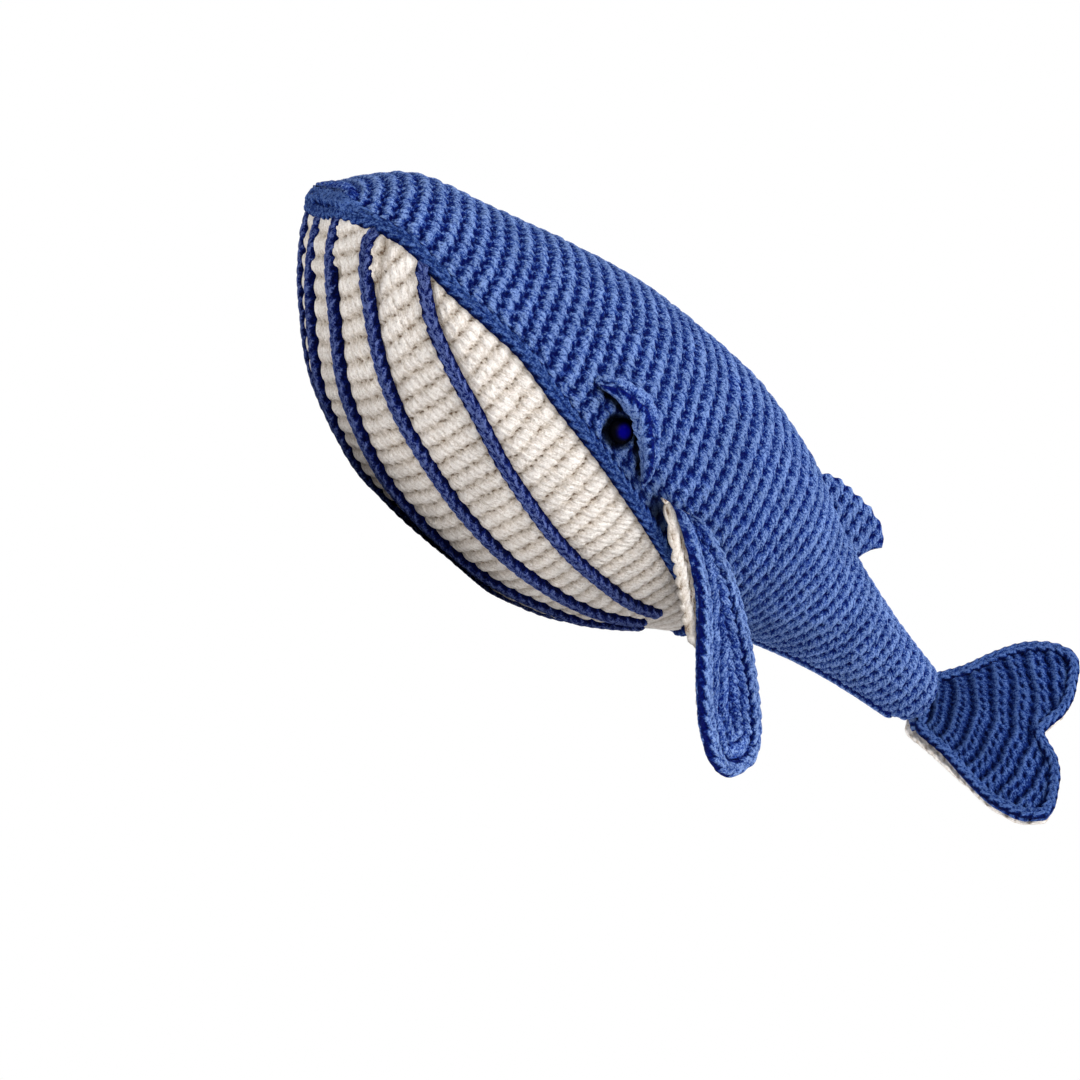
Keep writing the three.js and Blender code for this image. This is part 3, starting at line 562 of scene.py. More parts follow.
def lid_point(s, t, thickness):
    """A point of the eyelid: s along its sewn edge, t from that edge to the free rim.

    The thickness is 0 on its inner face and 1 on its outer face.
    """
    rows = [[k / (len(LID) - 1), a, b] for k, (a, b) in enumerate(LID)]
    station = EYE_STATION + smooth(rows, 1, s) * LID_SPAN
    angle = EYE_ANGLE + smooth(rows, 2, s) * LID_ANGLE
    out, foot = outward(station, angle), on_body(station, angle, LID_FOOT)
    inward = on_body(EYE_STATION, EYE_ANGLE, 0.0) - foot
    inward = unit(inward - out * np.sum(inward * out, -1, keepdims=True))
    swell = np.sin(math.pi * np.clip(s, 0.03, 0.97)) ** 0.7
    arch, curl = np.sin(t * math.pi / 2), 1 - np.cos(t * math.pi / 2)
    push = curl * LID_REACH * swell - thickness * LID_THICKNESS * (0.4 + 0.6 * swell)
    return foot + out * (arch * LID_RISE * swell)[..., None] + inward * push[..., None]


# How far a socket reaches from the lid's edge and from the eye's middle, and where it begins to fade
SOCKET_SPAN = 24.0
LID_SOCKET, LID_FADE = 7.5, 3.5
EYE_SOCKET, EYE_FADE = 7.8, 2.6


def eye_socket(points):
    """How deep points of the skin lie in an eye socket: 1 beside the eye and under the lid, 0 outside."""
    # this depth both draws the skin in and paints shade, nearly black, on the yarn there
    s = np.linspace(0.04, 0.96, 24)
    foot = lid_point(s, 0, 0)
    seat = on_body(EYE_STATION, EYE_ANGLE, 0.0)
    deep = np.zeros(points.shape[:2])
    for side in ("left", "right"):
        here = mirrored(points, side)
        near = np.linalg.norm(here - seat, axis=-1) < SOCKET_SPAN
        local = here[near]
        from_eye = np.linalg.norm(local - seat, axis=1)
        away = np.linalg.norm(local[:, None] - foot[None], axis=2)
        k = away.argmin(1)
        inner = from_eye < np.linalg.norm(foot[k] - seat, axis=1) + 0.5
        swell = np.sin(math.pi * s[k]) ** 0.5
        lid = np.clip((LID_SOCKET * swell - away.min(1)) / LID_FADE, 0, 1) * inner
        eye = np.clip((EYE_SOCKET - from_eye) / EYE_FADE, 0, 1)
        found = np.maximum(lid, eye)
        deep[near] = np.maximum(deep[near], found * found * (3 - 2 * found))
    return deep


def fin_crease(station, angle):
    """How far points of the skin are drawn in along the front of a fin's sewn edge, from 0 to 1."""
    # this amount both draws the skin in and paints shade on the yarn there
    ahead = station - CREASE_STATION
    found = np.zeros(np.broadcast(station, angle).shape)
    for about, sign in ((CREASE_ANGLE, 1), (math.pi - CREASE_ANGLE, -1)):
        up = (angle - about) * BODY_DEPTH / 2 * sign
        along = ahead * math.cos(CREASE_SLOPE) - up * math.sin(CREASE_SLOPE)
        across = ahead * math.sin(CREASE_SLOPE) + up * math.cos(CREASE_SLOPE)
        found = np.maximum(found, np.exp(-((along / CREASE_LENGTH) ** 2) - (across / CREASE_WIDTH) ** 2))
    return found


# Points of the shell: to a row, round the back, round the hidden part underneath, and to close an end
ROW_POINTS, ROUND_POINTS, UNDER_POINTS, CAP_POINTS = 10, 560, 44, 13
# The hidden part's depth, how much deeper it is tucked, and the turn from the seam that this takes
UNDER_DEPTH, TUCK_DEPTH, TUCK_TURN = 1.0, 2.6, 0.075
# The rows lie flatter from the first of these stations to the second
FLATTER_START, FLATTER_END = 170.0, 280.0
# The tail's end is rounded over its last length, by an arc of this radius and to this depth
TAIL_ROUND, TAIL_ARC, TAIL_DEPTH = 5.0, 6.0, 3.0


def cap(ring, depth, line, bulge):
    """Rings that close an end of the shell, drawn together onto a line across it."""
    centre = ring.mean(0)
    half = np.array([0, line, 0])
    core = centre + np.clip(ring - centre, -half, half)
    rings, depths = [], []
    for a in (np.arange(CAP_POINTS) + 0.5) / CAP_POINTS * math.pi / 2:
        flat = core + (ring - core) * max(math.cos(a), 0.03) + np.array([bulge * math.sin(a), 0, 0])
        lump = 0.5 + 0.3 * np.sin(flat[:, 1] * 1.1 + 3 * a) * np.cos(flat[:, 2] * 1.3)
        out = np.array([math.copysign(math.sin(a), bulge), 0, 0])
        rings.append(flat + out * ((lump - 0.5) * 1.4)[:, None])
        depths.append(depth * (1 - math.sin(a)) + lump * math.sin(a))
    return np.stack(rings), np.stack(depths)


def back_cover():
    """The blue shell, stitched round the back and flanks and smooth where the panel and seam hide it."""
    rows = np.arange(0, ROWS[-1], 1 / ROW_POINTS)
    station = np.interp(rows, ROWS, STATIONS)[:, None]
    reach = edge_reach(station)
    front = np.clip((station - PANEL_FRONT) / (PANEL_CORNER - PANEL_FRONT), 0, 1) ** (1 / CORNER_POWER)
    reach = np.where(station < PANEL_CORNER, reach * front, reach)
    reach = np.maximum(reach, 0.05 + 0.08 * station / TAIL_END)
    low, high = reach - math.pi / 2, 3 * math.pi / 2 - reach
    over = low + (high - low) * np.arange(ROUND_POINTS) / ROUND_POINTS
    below = high + 2 * reach * np.arange(UNDER_POINTS) / UNDER_POINTS
    angle = np.concatenate([over, below], 1)
    base = skin(station, angle)
    # stitches are counted round each row from the back line
    gap = np.linalg.norm(np.diff(base[:, : ROUND_POINTS + 1], axis=1), axis=2)
    run = np.concatenate([0 * station, np.cumsum(gap, 1)], 1)
    middle = run[:, ROUND_POINTS // 2][:, None]
    run = np.concatenate([run[:, :-1], np.repeat(run[:, -1:], UNDER_POINTS, 1)], 1)
    u, v = (run - middle) / STITCH, leaning_row(station, base)
    flatter = np.clip((station - FLATTER_START) / (FLATTER_END - FLATTER_START), 0, 1)
    height = single_crochet(
        u, v, ridge=0.37 + 0.03 * flatter, bridge=0.66 + 0.16 * flatter, post=0.27 + 0.03 * flatter
    )
    past = np.arange(ROUND_POINTS + UNDER_POINTS) - ROUND_POINTS
    inward = np.minimum(past, UNDER_POINTS - past) * 2 * reach / UNDER_POINTS
    hidden = UNDER_DEPTH + TUCK_DEPTH * np.clip(inward / TUCK_TURN, 0, 1)
    offset = np.where(past < 0, (height - 0.6) * RELIEF, -hidden)
    socket, crease = eye_socket(base), fin_crease(station, angle)
    ending = np.clip(station - TAIL_END + TAIL_ROUND, 0, TAIL_ROUND) / TAIL_ARC
    rounded = 1 - np.sqrt(1 - ending**2)
    offset = offset - DRAWN_IN * np.maximum(socket, crease) - TAIL_DEPTH * rounded
    rings = base + outward(station, angle) * offset[..., None]
    # painted shade and highlight follow each stitch's height; the eye sockets and fin creases get painted
    # shade
    depth = np.where(past < 0, height, 0)
    grid = counts(u + 0.45 * v, v, np.maximum(0.96 * socket, 0.9 * crease))
    # the lip's front edge is drawn together along a line, the tail's end to a point
    nose, nose_depth = cap(rings[0], depth[0], NOSE_LINE, -NOSE_BULGE)
    tail, tail_depth = cap(rings[-1], depth[-1], 0.0, TAIL_BULGE)
    rings = np.concatenate([nose[::-1], rings, tail])
    depth = np.concatenate([nose_depth[::-1], depth, tail_depth])
    grid = np.concatenate([np.repeat(grid[:1], CAP_POINTS, 0), grid, np.repeat(grid[-1:], CAP_POINTS, 0)])
    return tube("back", rings, depth, grid, BLUE, flip=True)


def pleat_places(share):
    """Where each pleat chain lies across the half panel at a share along it, with how far it has begun."""
    found = []
    for rows in PLEATS:
        first, last = rows[0][0], rows[-1][0]
        begun = np.clip((share - first + 0.02) / 0.03, 0, 1) * np.clip((last + 0.03 - share) / 0.05, 0, 1)
        found.append((smooth(rows, 1, share), begun))
    return found


# Points of the panel: to a row, and across it
BELLY_ROW_POINTS, BELLY_POINTS = 8, 301
# The panel's fabric lies this deep at a chain and swells to pillows of this height, this far from it
BELLY_DEPTH, PILLOW_HEIGHT, PILLOW_REACH = 1.4, 2.3, 8.5


def belly_panel():
    """The cream panel, whose rows swell to pillows between the chains."""
    middle = BELLY_POINTS // 2
    v0, v1 = row_of(PANEL_FRONT), row_of(PANEL_REAR)
    count = int((v1 - v0) * BELLY_ROW_POINTS)
    s = np.linspace(0, 1, count)[:, None]
    place = np.linspace(-1, 1, BELLY_POINTS)[None, :]
    front = row_of(PANEL_FRONT + (PANEL_CORNER - PANEL_FRONT) * np.abs(place) ** CORNER_POWER)
    # even steps in rows rather than in stations
    station = np.interp(front + (v1 - front) * s, ROWS, STATIONS)
    angle = place * edge_reach(station) - math.pi / 2
    base, out = skin(station, angle), outward(station, angle)
    share = np.clip((station - PANEL_CORNER) / (PANEL_REAR - PANEL_CORNER), 0, 1)
    gap = np.linalg.norm(np.diff(base, axis=1), axis=2)
    run = np.concatenate([0 * s, np.cumsum(gap, 1)], 1)
    across = run - run[:, middle : middle + 1]
    half = np.maximum((run[:, -1:] - run[:, :1]) / 2, 1)
    nearest = half - np.abs(across)
    for where, begun in pleat_places(share):
        for sign in (1, -1):
            away = np.abs(across - sign * where * half) + (1 - begun) * 30
            nearest = np.minimum(nearest, away)
    pillow = PILLOW_HEIGHT * (1 - (1 - np.clip(nearest / PILLOW_REACH, 0, 1)) ** 2.2)
    u = across / STITCH
    v = row_of(station + 0.09 * (half - np.abs(across)))
    height = single_crochet(u, v, seed=3, ridge=0.48, bridge=0.58, post=0.4, tilt=-0.6, cut=0.3)
    relief = RELIEF * (0.4 + 0.6 * np.clip(nearest / 5, 0, 1))
    outer = base + out * (pillow - BELLY_DEPTH + (height - 0.5) * relief)[..., None]
    inner = base - out * (FABRIC - 0.2)
    # painted shade: darker in the holes between stitches and beside each chain, lighter on the crests
    depth = np.clip((0.06 + height) * (0.5 + 0.5 * np.clip(nearest / 4, 0, 1)), 0, 1)
    return slab("belly", outer, inner, depth, depth * 0, counts(u - 0.6 * v, v), CREAM, flip=True)


def lip_route():
    """Along the front of the snout, from the seam's one corner over the tip to the other."""
    turn = np.linspace(0.1, math.pi - 0.1, 160)
    station = 0.4 + 7.0 * np.abs(np.cos(turn)) ** 9
    half = smooth(PROFILE, 3, station / BODY_LENGTH) * BODY_WIDTH
    level = 4.2 + 0.7 * np.sin(9 * turn)
    across = -half * np.cos(turn)
    feet = np.stack([station - 0.6 * np.sin(turn) ** 0.5, across, level], -1)
    outs = np.stack([-np.sin(turn) ** 0.4 - 0.2, -1.0 * np.cos(turn) ** 7, 0.1 + 0 * turn], -1)
    return softened(feet, 5), unit(softened(outs, 8))


def seam_route():
    place = np.linspace(-1, 1, 160)
    station = PANEL_FRONT + (PANEL_CORNER - PANEL_FRONT) * np.abs(place) ** CORNER_POWER
    angle = -math.pi / 2 + place * edge_reach(station)
    share = np.linspace(0, 1, 400)[1:-1]
    along = PANEL_CORNER + (PANEL_REAR - PANEL_CORNER) * np.sin(share * math.pi / 2)
    left, right = -math.pi / 2 + edge_reach(along), -math.pi / 2 - edge_reach(along)
    stations = np.concatenate([station, along, along[::-1]])
    angles = np.concatenate([angle, left, right[::-1]])
    return skin(stations, angles), outward(stations, angles)


def pleat_route(rows):
    share = np.linspace(rows[0][0], rows[-1][0], 400)
    place = smooth(rows, 1, share)
    station = PANEL_CORNER + (PANEL_REAR - PANEL_CORNER) * share
    drawn = station - (PANEL_CORNER - PANEL_FRONT) * (1 - np.abs(place) ** CORNER_POWER) * (1 - share)
    angle = -math.pi / 2 + place * edge_reach(drawn)
    return skin(drawn, angle), outward(drawn, angle)


back = back_cover()
belly = belly_panel()
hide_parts("back_cover")
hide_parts("belly_panel")
for piece, slot in ((back, "blue_yarn"), (belly, "cream_yarn")):
    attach(piece, "body")

SEAM_WIDTH, SEAM_HEIGHT = 6.6, 3.6
LIP_WIDTH, LIP_HEIGHT = 9.0, 4.2
PLEAT_WIDTH, PLEAT_HEIGHT = 6.0, 3.4
TAIL_CHAIN_START, TAIL_CHAIN_END, TAIL_CHAIN_WIDTH, TAIL_CHAIN_HEIGHT = 229, 336, 4.6, 2.5

feet, outs = (softened(values, 4, True) for values in seam_route())
seam = chain("mouth_seam", feet, outs, SEAM_WIDTH, SEAM_HEIGHT, SEAM, closed=True, sunk=1.6, light=0.84)
pieces = [(seam, "mouth_seam_chain", "chain_yarn")]
feet, outs = lip_route()
lip = chain(
    "front_lip", feet, outs, LIP_WIDTH, LIP_HEIGHT, SEAM, pitch=6.0, sunk=3.4, seed=14, taper=1.8, shade=0.12
)
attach(lip, "body")
for k, label in enumerate(("centre", "inner", "middle", "outer")):
    feet, outs = pleat_route(PLEATS[k])
    for side in ("left", "right") if k else ("",):
        name = f"{side}_{label}".strip("_")
        piece = chain(
            "pleat_" + name, feet, outs, PLEAT_WIDTH, PLEAT_HEIGHT, NAVY, seed=k, mirror=side == "right"
        )
        pieces.append((piece, "pleat_chain_" + name, "chain_yarn"))
stations = np.linspace(TAIL_CHAIN_START, TAIL_CHAIN_END, 300)
feet, outs = skin(stations, -math.pi / 2), outward(stations, -math.pi / 2)
piece = chain("under_tail_chain", feet, outs, TAIL_CHAIN_WIDTH, TAIL_CHAIN_HEIGHT, BLUE, pitch=4.2)
pieces.append((piece, "under_tail_seam", "blue_yarn"))
for piece, node, slot in pieces:
    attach(piece, "body")
    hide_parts(node)


# Stuffing, eyes and eyelids
FILLING_START, FILLING_END, FILLING_GAP = 13.5, TAIL_END - 8, 1.5


def filling():
    """Loose fibre filling inside the covers, a little lumpy."""
    station = np.linspace(FILLING_START, FILLING_END, 90)[:, None]
    angle = np.linspace(0, 2 * math.pi, 72, endpoint=False)[None, :]
    lumps = 0.25 * np.sin(station * 0.21 + 3 * angle) + 0.2 * np.sin(station * 0.37 - 5 * angle)
    rings = on_body(station, angle, -(FABRIC + FILLING_GAP) + lumps)
    # painted shade: darker in the dips between lumps
    return tube("filling", rings, 0.7 + 0.6 * lumps, counts(station / 5, angle * 9), FIBRE, flip=True)


def eye(side):
    """A round button with a short shank, drawn as rings about its axis."""
    seat, axis = on_body(EYE_STATION, EYE_ANGLE, 0.0), outward(EYE_STATION, EYE_ANGLE)
    first = unit(np.cross(axis, [0, 0, 1.0]))
    second = np.cross(axis, first)
    profile = [(0.05, -SHANK_LENGTH), (SHANK_RADIUS, -SHANK_LENGTH), (SHANK_RADIUS, 0.2)]
    profile += [(4.5, SEAT_GAP), (EYE_RADIUS, 0.55), (EYE_RADIUS, 0.9)]
    for k in range(1, 25):
        a = k / 24 * math.pi / 2
        rise = SEAT_GAP + EYE_RIM + (EYE_DOME - EYE_RIM) * math.sin(a)
        profile.append((max(EYE_RADIUS * math.cos(a), 0.03), rise))
    turn = np.linspace(0, 2 * math.pi, 48, endpoint=False)
    spokes = np.cos(turn)[:, None] * first + np.sin(turn)[:, None] * second
    rings = mirrored(np.stack([seat + axis * h + spokes * r for r, h in profile]), side)
    ratio = np.array([r / EYE_RADIUS if h > 0.5 else 1 for r, h in profile])
    depth = np.repeat(ratio[:, None], len(turn), 1)
    return tube(side + "_eye_button", rings, depth, np.zeros(rings.shape), EYE, flip=side == "right")


def eyelid(side):
    """A crocheted crescent, and the chain along its free rim."""
    s, t = np.meshgrid(np.linspace(0, 1, 150), np.linspace(0, 1, 44), indexing="ij")
    outer, inner = lid_point(s, t, 1), lid_point(s, t, 0)
    u, v = s * 8.5, t * 0.9 + 0.35
    height = single_crochet(u, v, seed=5, ridge=0.45, bridge=0.7, post=0.3)
    ends = np.clip(np.minimum(s, 1 - s) * 12, 0, 1)
    outer = outer - surface_normals(outer) * ((height - 0.3) * 1.9 * ends)[..., None]
    outer, inner = mirrored(outer, side), mirrored(inner, side)
    # painted shade: the lid's inner face is painted nearly black as the shade under it, its outer face
    # lighter
    depth, grid = 0.25 + 0.75 * height, counts(u + 0.45 * v, v)
    lid = slab(side + "_lid", outer, inner, depth, 0.12 * t**3, grid, BLUE, flip=side == "right")
    along = np.linspace(0.02, 0.98, 200)
    over = unit(lid_point(along, 1, 0.5) - lid_point(along, 0.6, 0.5))
    edge = chain(
        side + "_lid_edge", lid_point(along, 0.97, 0.45), over, 8.6, 4.0, BLUE,
        pitch=5.2, sunk=1.8, seed=8, taper=1.6, mirror=side == "right",
    )
    return lid, edge


# Pectoral fins
FIN_LENGTH, FIN_WIDTH, FIN_STATION, FIN_ANGLE = 107.0, 38.0, 152.0, math.radians(-3)
FIN_STANDOFF, FIN_LINING, FIN_OUTER = 6.8, 2.4, 3.0
FIN_SWEEP, FIN_ROLL, FIN_NECK = math.radians(37.4), math.radians(26), 16.0
LINING_SHOW, LINING_END, LINING_TUCK, LINING_TUCK_LENGTH, LINING_SCALLOP = 8.0, 54.0, 5.0, 12.0, 4.8
RIGHT_RAISE = math.radians(40)
FIN_STACK = FIN_LINING + SEAT_GAP + FIN_OUTER


def spun(points, axis, angle):
    """Points turned about an axis through the origin."""
    axis = unit(np.asarray(axis, float))
    c, s = math.cos(angle), math.sin(angle)
    return points * c + np.cross(axis, points) * s + axis * np.sum(points * axis, -1, keepdims=True) * (1 - c)


FIN_LINE = np.array([math.cos(FIN_SWEEP), 0, -math.sin(FIN_SWEEP)])
FIN_SIDE = spun(np.array([0, -1.0, 0]), FIN_LINE, -FIN_ROLL)
FIN_ACROSS = np.cross(FIN_SIDE, FIN_LINE)
FIN_ORIGIN = on_body(FIN_STATION, FIN_ANGLE, FIN_STANDOFF)
FIN_HINGE = on_body(FIN_STATION, FIN_ANGLE, JOINT_GAP)


def on_fin(along, across, height):
    flat = FIN_ORIGIN + along[..., None] * FIN_LINE + across[..., None] * FIN_ACROSS
    flat = flat + (height - FIN_STACK / 2)[..., None] * FIN_SIDE
    seat = on_body(FIN_STATION + across, FIN_ANGLE, JOINT_GAP + height)
    t = np.clip(along / FIN_NECK, 0, 1)
    ease = (t * t * (3 - 2 * t))[..., None]
    return seat * (1 - ease) + flat * ease


def fin_edges(along):
    share = along / FIN_LENGTH
    return smooth(FIN, 1, share) * FIN_WIDTH, smooth(FIN, 2, share) * FIN_WIDTH


def lining_show(along):
    fade = np.sqrt(np.clip(1 - along / LINING_END, 0, 1))
    return LINING_SHOW * fade * np.clip(along / (2 * FIN_NECK), 0, 1) ** 0.6


def outline_distance(along, across, line):
    """Distance of points of a flat piece from its outline."""
    flat = np.stack([along.ravel(), across.ravel()], -1)
    a, b = line[:-1], line[1:]
    step = b - a
    squared = np.maximum(np.sum(step**2, 1), 1e-9)
    best = np.full(len(flat), 1e9)
    for k in range(len(a)):
        t = np.clip(((flat - a[k]) @ step[k]) / squared[k], 0, 1)
        best = np.minimum(best, np.hypot(*(flat - a[k] - t[:, None] * step[k]).T))
    return best.reshape(along.shape)


def fin_side(points, side):
    """The fin's points on its own flank.

    The right fin is the left one's mirror image, raised about its sewn edge.
    """
    if side == "left":
        return points
    line = unit(on_body(FIN_STATION + FIN_NECK / 2, FIN_ANGLE, JOINT_GAP) - FIN_HINGE)
    hinge = FIN_HINGE * MIRROR
    return spun(points * MIRROR - hinge, line * MIRROR, RIGHT_RAISE) + hinge


def fin_panel(side, name, low, high, show, material, relief, seed):
    """A layer of a fin between two heights. One that shows past the other runs out ahead of its front."""
    s, t = np.meshgrid(np.linspace(0, 1, 210), np.linspace(0, 1, 78), indexing="ij")
    along = FIN_LENGTH * np.sin(s * math.pi / 2)
    front, rear = fin_edges(along)
    shape = np.linspace(0, FIN_LENGTH, 120)
    line_front, line_rear = fin_edges(shape)
    if show:
        hidden = LINING_TUCK * np.clip((along - 0.8 * LINING_END) / LINING_TUCK_LENGTH, 0, 1)
        front = front - lining_show(along) + hidden - np.abs(np.sin(along * math.pi / LINING_SCALLOP))
        rear = rear - hidden
        line_front = line_front - lining_show(shape)
    across = front + (rear - front) * t
    line = [np.stack([shape, line_front], -1), np.stack([shape, line_rear], -1)[::-1]]
    away = outline_distance(along, across, np.concatenate(line))
    rows = away / 5.4 + 0.1 + 0.12 * np.sin(along * 0.31) * np.sin(across * 0.4)
    u = along / 5.2
    height = single_crochet(u, rows, seed=seed, lean=0.5, ridge=0.42, bridge=0.7, post=0.34)
    soft = np.clip(away / 1.6, 0, 1) ** 0.5
    swell = (height - 0.55) * relief * soft - 1.0 * (1 - soft)
    top = on_fin(along, across, high + swell)
    below = on_fin(along, across, low - (height - 0.5) * relief * 0.7 * soft + 0.9 * (1 - soft))
    depth = height if show else np.clip(height * 0.94 - 0.06, 0, 1)
    top, below, grid = fin_side(top, side), fin_side(below, side), counts(u * 0.5 + rows, u * 0.7)
    return slab(f"{side}_fin_{name}", top, below, depth, height, grid, material, flip=side == "left")


def fin_rim(side):
    """The chain round a fin's outer layer, a little in from its edge."""
    inset, begin = 2.2, 3.0
    along = begin + (FIN_LENGTH - inset - begin) * np.sin(np.linspace(0, 1, 260) * math.pi / 2)
    front, rear = fin_edges(along)
    half = np.maximum((rear - front) / 2 - inset, 0)
    middle = (front + rear) / 2
    along = np.concatenate([along, along[::-1]])
    across = np.concatenate([middle - half, (middle + half)[::-1]])
    base = FIN_STACK + 0.1 + 0 * along
    foot = on_fin(along, across, base)
    out = unit(on_fin(along, across, base + FABRIC) - foot)
    foot, out = softened(foot, 5), unit(softened(out, 5))
    foot, out = fin_side(foot, side), fin_side(foot + out, side) - fin_side(foot, side)
    return chain(f"{side}_fin_edge", foot, out, 6.8, 2.9, BLUE, pitch=5.6, sunk=2.4, seed=11, taper=9)


def fin(side):
    lining = fin_panel(side, "lining_knit", 0, FIN_LINING, True, CREAM, 1.6, 21)
    top = fin_panel(side, "top", FIN_LINING + SEAT_GAP, FIN_STACK + 0.9, False, BLUE, 3.4, 23)
    root = fin_side(FIN_HINGE, side)
    end = fin_side(on_fin(np.array(FIN_NECK), np.array(4.0), np.array(FIN_STACK / 2)), side)
    for piece, node, slot in (
        (lining, "lining", "cream_yarn"), (top, "outer", "blue_yarn"), (fin_rim(side), "rim", "blue_yarn")
    ):
        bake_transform(piece)
        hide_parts(f"{side}_fin_{node}")


# Fluke
FLUKE_LENGTH, FLUKE_WIDTH, FLUKE_TOP, FLUKE_LINING = 60.4, 90.0, 3.0, 2.4
FLUKE_TWIST, FLUKE_FOLD, FLUKE_CUP = math.radians(57), math.radians(46), math.radians(4)
STITCH_RADIUS, STITCH_WIDTH, WINDING, FLUKE_HEIGHT = 3.3, 25.0, 3.6, 2.0
RIB_CENTRE, FLUKE_INSET, FLUKE_NECK = 16.0, 2.3, 10.0
FLUKE_STACK = FLUKE_LINING + SEAT_GAP + FLUKE_TOP
FLUKE_PLACE = np.array([TAIL_END + 0.6 + JOINT_GAP + STITCH_RADIUS, 0, FLUKE_HEIGHT])


def fluke_placed(points):
    """The fluke's own frame to the body's: folded about its root, then twisted about the tail."""
    return spun(spun(points, [0, 1, 0], -FLUKE_FOLD), [1, 0, 0], FLUKE_TWIST) + FLUKE_PLACE


def on_fluke(place, share, height, inset=0.0, ahead=0.0):
    """Points of the fluke, with their places along and across it.

    place runs over the fluke from -1 to 1 and share from its leading edge to its trailing one. The
    inset draws both edges in, and ahead moves the leading one out between its root and its tips.
    """
    out = np.abs(place)
    root = STITCH_RADIUS + JOINT_GAP
    drawn_in = (root - 0.6) * np.clip((0.4 - out) / 0.15, 0, 1)
    lead = root + smooth(FLUKE, 1, out) * FLUKE_LENGTH + inset - drawn_in
    lead = lead - ahead * np.clip(out / 0.15, 0, 1) * np.clip((0.75 - out) / 0.3, 0, 1)
    trail = root + smooth(FLUKE, 2, out) * FLUKE_LENGTH - inset
    x = lead + (trail - lead) * share
    y = out * FLUKE_WIDTH / 2 - inset * out**8
    level = height - FLUKE_STACK / 2
    tilt = FLUKE_CUP * np.minimum(1, out * 4)
    across = np.sign(place) * (y * np.cos(tilt) - level * np.sin(tilt))
    points = fluke_placed(np.stack([x, across, y * np.sin(tilt) + level * np.cos(tilt)], -1))
    return points, x, y * np.sign(place)


def fluke_outline():
    place = np.sin(np.linspace(-0.5, 0.5, 160) * math.pi)
    _, x0, y0 = on_fluke(place, 0 * place, 0 * place)
    _, x1, y1 = on_fluke(place, 1 + 0 * place, 0 * place)
    return np.concatenate([np.stack([x0, y0], -1), np.stack([x1, y1], -1)[::-1], [[x0[0], y0[0]]]])


def fluke_panel(name, low, high, material, relief, seed, ahead=0.0):
    """A layer of the fluke between two heights, with ribs curved about a point ahead of its root."""
    s, t = np.meshgrid(np.linspace(0, 1, 230), np.linspace(0, 1, 110), indexing="ij")
    place = np.sin((s - 0.5) * math.pi)
    _, x, y = on_fluke(place, t, 0 * t, 0, ahead)
    away = outline_distance(x, y, fluke_outline())
    rows = np.hypot(x + RIB_CENTRE, 0.92 * y) / 4.3 + 0.12 * np.sin(y * 0.3 + x * 0.13)
    u = np.arctan2(0.92 * y, x + RIB_CENTRE) * 46 / 3.6
    height = single_crochet(u, rows, seed=seed, lean=0.1, ridge=0.4, bridge=0.7, post=0.34)
    ribs = 0.5 + 0.5 * np.cos(rows * math.pi + 0.5)
    soft = np.clip(away / 1.5, 0, 1) ** 0.5
    swell = ((height - 0.55) * relief + (ribs - 0.6) * 1.7) * soft - 0.9 * (1 - soft)
    sag = 0.8 * (1 - soft) - (height - 0.5) * relief * 0.7 * soft
    top, _, _ = on_fluke(place, t, high + swell, 0, ahead)
    below, _, _ = on_fluke(place, t, low + sag, 0, ahead)
    # painted shade and light: darker in the valleys between ribs, and the lining is painted lighter than the
    # top
    depth = np.clip(height * (0.5 + 0.5 * np.sqrt(ribs)) + (0.45 if ahead else 0.12), 0, 1)
    return slab(name, top, below, depth, 0.5 + 0.5 * height, counts(u + 0.3 * rows, rows), material)


def fluke_rim():
    """The chain round the fluke's upper layer, a little in from its edge."""
    place = np.sin(np.linspace(-0.5, 0.5, 300) * math.pi) * 0.985
    base = FLUKE_STACK + 0.2 + 0 * place
    feet, outs = [], []
    for share, order in ((1.0, slice(None)), (0.0, slice(-2, 0, -1))):
        foot, _, _ = on_fluke(place, share + 0 * place, base, FLUKE_INSET)
        over, _, _ = on_fluke(place, share + 0 * place, base + FABRIC, FLUKE_INSET)
        feet.append(foot[order])
        outs.append(unit(over - foot)[order])
    foot, out = (softened(np.concatenate(route), 4, True) for route in (feet, outs))
    return chain("fluke_edge", foot, unit(out), 5.8, 2.4, SEAM, pitch=4.6, closed=True, sunk=1.8, seed=31)


def fluke_roll():
    """Whip stitches round the joint between the tail and the fluke."""
    half = STITCH_WIDTH / 2
    y = np.linspace(-half, half, 140)[:, None]
    turn = np.linspace(0, 2 * math.pi, 32, endpoint=False)[None, :]
    ends = np.sqrt(np.clip(1 - (np.abs(y) / half) ** 2, 0.004, 1))
    wound = 0.5 + 0.5 * np.cos(2 * math.pi * (y / WINDING) + turn)
    radius = STITCH_RADIUS * ends * (0.88 + 0.17 * wound**0.6)
    points = np.stack([radius * np.cos(turn), y + 0 * turn, radius * np.sin(turn)], -1)
    grid = counts(y / WINDING + turn / 6, turn)
    # painted shade: darker in the grooves between the windings
    return tube("fluke_sewing", fluke_placed(points), 0.15 + 0.85 * wound, grid, BLUE, flip=True)


def fluke():
    top = fluke_panel("fluke_upper", FLUKE_LINING + SEAT_GAP, FLUKE_STACK, SEAM, 2.0, 33)
    lining = fluke_panel("fluke_lining_knit", 0, FLUKE_LINING, CREAM, 1.0, 35, 4.0)
    for piece, node, slot in (
        (lining, "lining", "cream_yarn"), (top, "top", "blue_yarn"), (fluke_rim(), "rim", "blue_yarn")
    ):
        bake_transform(piece)
        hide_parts("fluke_" + node)
    roll = fluke_roll()
    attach(roll, "fluke_root")
    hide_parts("fluke_stitching")


# Back fin
DORSAL_STATION, DORSAL_BASE, DORSAL_HEIGHT = 230.0, 42.0, 18.5
DORSAL_LEAN, DORSAL_THICKNESS, DORSAL_ROUND, DORSAL_PITCH = 7.0, 9.0, 4.0, 6.0


